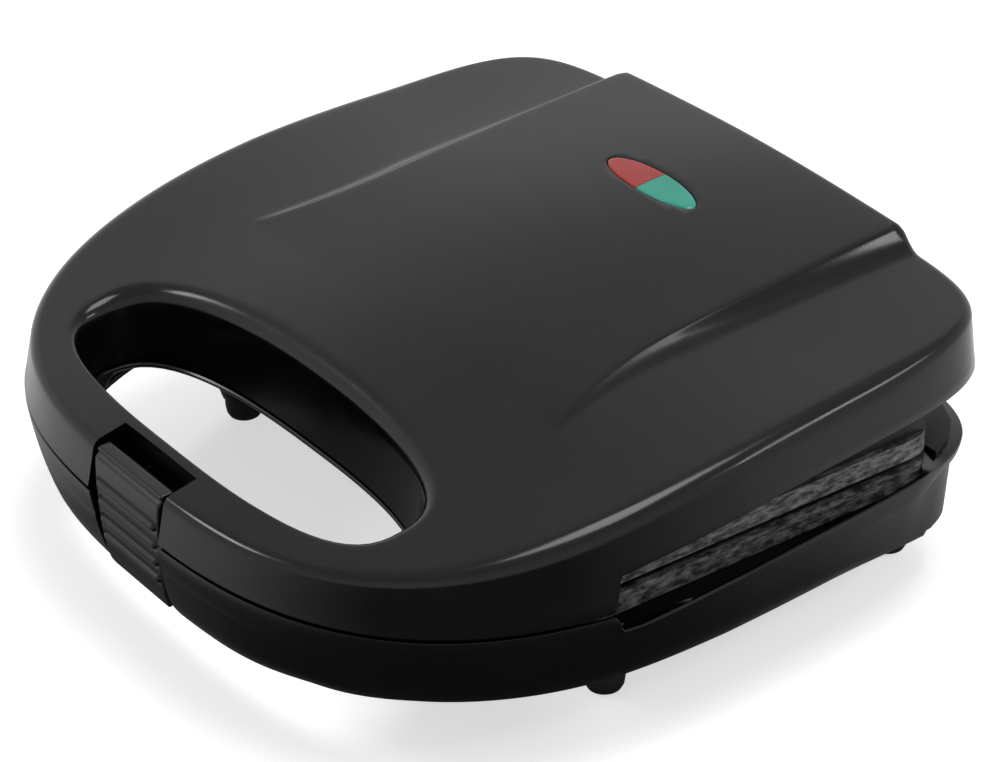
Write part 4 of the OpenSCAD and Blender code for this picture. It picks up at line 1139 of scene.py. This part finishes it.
@dataclass
class Studio:
    """Camera, lamps, floor and world."""

    azimuth: float = 55.55
    elevation: float = 30.47
    roll: float = 2.0
    distance: float = 1.00776
    target: tuple[float, float, float] = (0.0, 0.0059, 0.045)
    lens: float = 135.29
    shift: tuple[float, float] = (0.02176, -0.00803)
    floor_size: float = 8.0
    floor_white: float = 0.62
    floor_z: float = -0.0002
    fill: float = 0.35
    overhead: float = 0.7
    # direction towards the camera, in which the floor is painted dark as seen in reflections (painted shade)
    painted_shade_way: tuple[float, float, float] = (0.82, -0.57, 0.0)

    def camera(self) -> None:
        """Places the camera at the photograph's angle."""
        az, el, r = (math.radians(v) for v in (self.azimuth, self.elevation, self.roll))
        back = Vector((math.sin(az) * math.cos(el), -math.cos(az) * math.cos(el), math.sin(el)))
        z = -back
        x = z.cross(Vector((0, 0, 1))).normalized()
        y = z.cross(x)
        x, y = math.cos(r) * x + math.sin(r) * y, -math.sin(r) * x + math.cos(r) * y
        data = bpy.data.cameras.new("camera")
        data.lens, data.sensor_width = self.lens, 36
        data.shift_x, data.shift_y = self.shift
        data.clip_start, data.clip_end = 0.05, 30
        cam = bpy.data.objects.new("camera", data)
        where = Vector(self.target) + back * self.distance
        turn = Matrix((x, -y, -z)).transposed().to_4x4()
        cam.matrix_world = Matrix.Translation(where) @ turn
        bpy.context.scene.collection.objects.link(cam)
        bpy.context.scene.camera = cam

    def lamp(
        self, name: str, where: tuple[float, float, float], size: tuple[float, float], power: float
    ) -> None:
        """Hangs a rectangular soft lamp that looks at the object."""
        data = bpy.data.lights.new(name, "AREA")
        data.shape = "RECTANGLE"
        data.size, data.size_y = size
        data.energy = power
        obj = bpy.data.objects.new(name, data)
        obj.location = where
        look = Vector(self.target) - Vector(where)
        obj.rotation_euler = look.to_track_quat("-Z", "Y").to_euler()
        bpy.context.scene.collection.objects.link(obj)

    def lamps(self) -> None:
        """Hangs the lamps."""
        for lamp in LAMPS:
            self.lamp(*lamp)

    def floor(self) -> None:
        """Lays the floor, white where the camera sees it and shaded under the object; in reflections its lit
        colour is dimmed and it glows as a painted reflection, with painted shade near the object and on the
        side towards the camera.
        """
        mesh = bpy.data.meshes.new("floor")
        h = self.floor_size / 2
        corners = [(x, y, self.floor_z) for x, y in ((-h, -h), (h, -h), (h, h), (-h, h))]
        mesh.from_pydata(corners, [], [(0, 1, 2, 3)])
        obj = bpy.data.objects.new("floor", mesh)
        bpy.context.scene.collection.objects.link(obj)
        mat = bpy.data.materials.new("pale_floor")
        mat.use_nodes = True
        mat.node_tree.nodes.clear()
        n = Nodes(mat.node_tree)
        path = n.add("LightPath")
        through, glossy = path.outputs["Is Transmission Ray"], path.outputs["Is Glossy Ray"]
        seen = n.add("Math", {0: path.outputs["Is Camera Ray"], 1: through}, operation="MAXIMUM")
        spot = n.add("SeparateXYZ", {0: n.add("TexCoord").outputs["Object"]})
        flat = n.add("CombineXYZ", {0: spot.outputs[0], 1: spot.outputs[1]}).outputs[0]
        reach = n.add("VectorMath", {0: flat}, operation="LENGTH").outputs["Value"]
        unit = n.add("VectorMath", {0: flat}, operation="NORMALIZE").outputs["Vector"]
        # painted reflection: for glossy rays the floor glows, with painted shade on the side towards the
        # camera and near the object
        ahead = n.add("VectorMath", {0: unit, 1: self.painted_shade_way}, operation="DOT_PRODUCT").outputs["Value"]
        # side is the painted shade towards the camera, far the painted contact shade within 0.125 to 0.2 m of
        # the middle
        side, far = n.span(ahead, 1.0, 0.12, 0.4, 0.9), n.span(reach, 0.1, 1.0, 0.125, 0.2)
        painted_reflection = n.add("Math", {0: side, 1: far}, operation="MULTIPLY")
        painted_reflection = n.add("Math", {0: painted_reflection.outputs[0], 1: glossy}, operation="MULTIPLY")
        shown = n.span(seen.outputs[0], 0.0, self.floor_white)
        # emission: the even white floor for the camera, plus the painted reflection for glossy rays
        white = n.add("Math", {0: shown, 1: painted_reflection.outputs[0]}, operation="ADD")
        # glossy rays see the lit floor almost black, so reflections show the painted reflection instead of
        # the floor's real light and shadow
        lit = n.add("BsdfDiffuse", {"Color": n.mix(glossy, (0.7, 0.7, 0.7), (0.05, 0.05, 0.05))})
        pale = n.add("Emission", {"Color": (1, 1, 1, 1), "Strength": white.outputs[0]})
        both = n.add("AddShader", {0: lit.outputs[0], 1: pale.outputs[0]})
        out = n.add("OutputMaterial")
        mat.node_tree.links.new(both.outputs[0], out.inputs[0])
        mesh.materials.append(mat)

    def world(self) -> None:
        """White surroundings for the camera and reflections, softer for the light on surfaces."""
        world = bpy.data.worlds.new("studio")
        world.use_nodes = True
        tree = world.node_tree
        tree.nodes.clear()
        n = Nodes(tree)
        path = n.add("LightPath")
        through, glossy = path.outputs["Is Transmission Ray"], path.outputs["Is Glossy Ray"]
        seen = n.add("Math", {0: glossy, 1: through}, operation="MAXIMUM")
        high = n.add("SeparateXYZ", {0: n.add("TexCoord").outputs["Generated"]}).outputs[2]
        sky = n.mix(n.span(high, 0.0, 1.0, 0.42, 0.72), (1, 1, 1), (self.overhead,) * 3)
        shown = n.mix(seen.outputs[0], (self.fill,) * 3, sky)
        colour = n.mix(path.outputs["Is Camera Ray"], shown, (1, 1, 1))
        back = n.add("Background", {"Color": colour, "Strength": 1.0})
        out = n.add("OutputWorld")
        tree.links.new(back.outputs[0], out.inputs[0])
        bpy.context.scene.world = world

    def build(self) -> None:
        """Sets up the whole studio."""
        self.camera()
        self.lamps()
        self.floor()
        self.world()
        bpy.context.scene.view_settings.view_transform = "Standard"


@dataclass
class Toaster:
    """The dressed toaster: new casings, latch and windows, and finishes for every part of the frame."""

    frame: dict
    form: BodyForm = field(default_factory=BodyForm)
    lid_rear: float = 100.0
    lid_rear_n: float = 7.6
    materials: dict[str, bpy.types.Material] = field(default_factory=dict)

    def finishes(self) -> None:
        """Builds every finish."""
        groups = {g.name: g for g in (moulded_grain(), handling_marks())}
        self.materials = {slot: f.make(groups) for slot, f in FINISHES.items()}

    def dress_frame(self) -> None:
        """Gives each part of the frame the finish of its slot."""
        slots = {}
        for entry in self.frame["record"].get("materials", []):
            for node in entry.get("nodes", []):
                slots[node] = entry["slot"]
        for name, obj in self.frame["nodes"].items():
            for i, old in enumerate(obj.material_slots):
                key = old.material.name.split(".")[0] if old.material else ""
                key = key if key in self.materials else slots.get(name, "inner_moulding")
                obj.material_slots[i].material = self.materials[key]

    def fit(self, obj: bpy.types.Object, body: str, slot: str, *nodes: str) -> None:
        """Puts a piece on its body, with its finish, in place of CAD nodes."""
        obj.data.materials.clear()
        obj.data.materials.append(self.materials[slot])
        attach(obj, body)
        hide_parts(*nodes)
        log.info("%s: %d faces on %s", obj.name, len(obj.data.polygons), body)

    def build(self) -> None:
        """Builds the pieces in order."""
        self.finishes()
        self.dress_frame()
        lid_form = replace(self.form, rear_d=self.lid_rear, rear_n=self.lid_rear_n)
        self.fit(LidCasing(lid_form).build(), "lid", "gloss_shell", "lid_shell")
        self.fit(BaseCasing(self.form).build(), "base", "gloss_shell", "base_shell")
        self.fit(LatchLever().build(), "latch", "satin_latch", "latch")
        self.fit(IndicatorWindow(self.form, Side.RED).build(), "lid", "red_lens", "red_lens")
        self.fit(IndicatorWindow(self.form, Side.GREEN).build(), "lid", "green_lens", "green_lens")


def plain(box) -> list:
    """A box as plain lists of numbers."""
    return [[float(v) for v in corner] for corner in box]


def main() -> None:
    """Builds the scene."""
    logging.basicConfig(level=logging.INFO, format="%(name)s: %(message)s")
    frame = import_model()
    Studio().build()
    Toaster(frame).build()


if __name__ == "__main__":
    main()
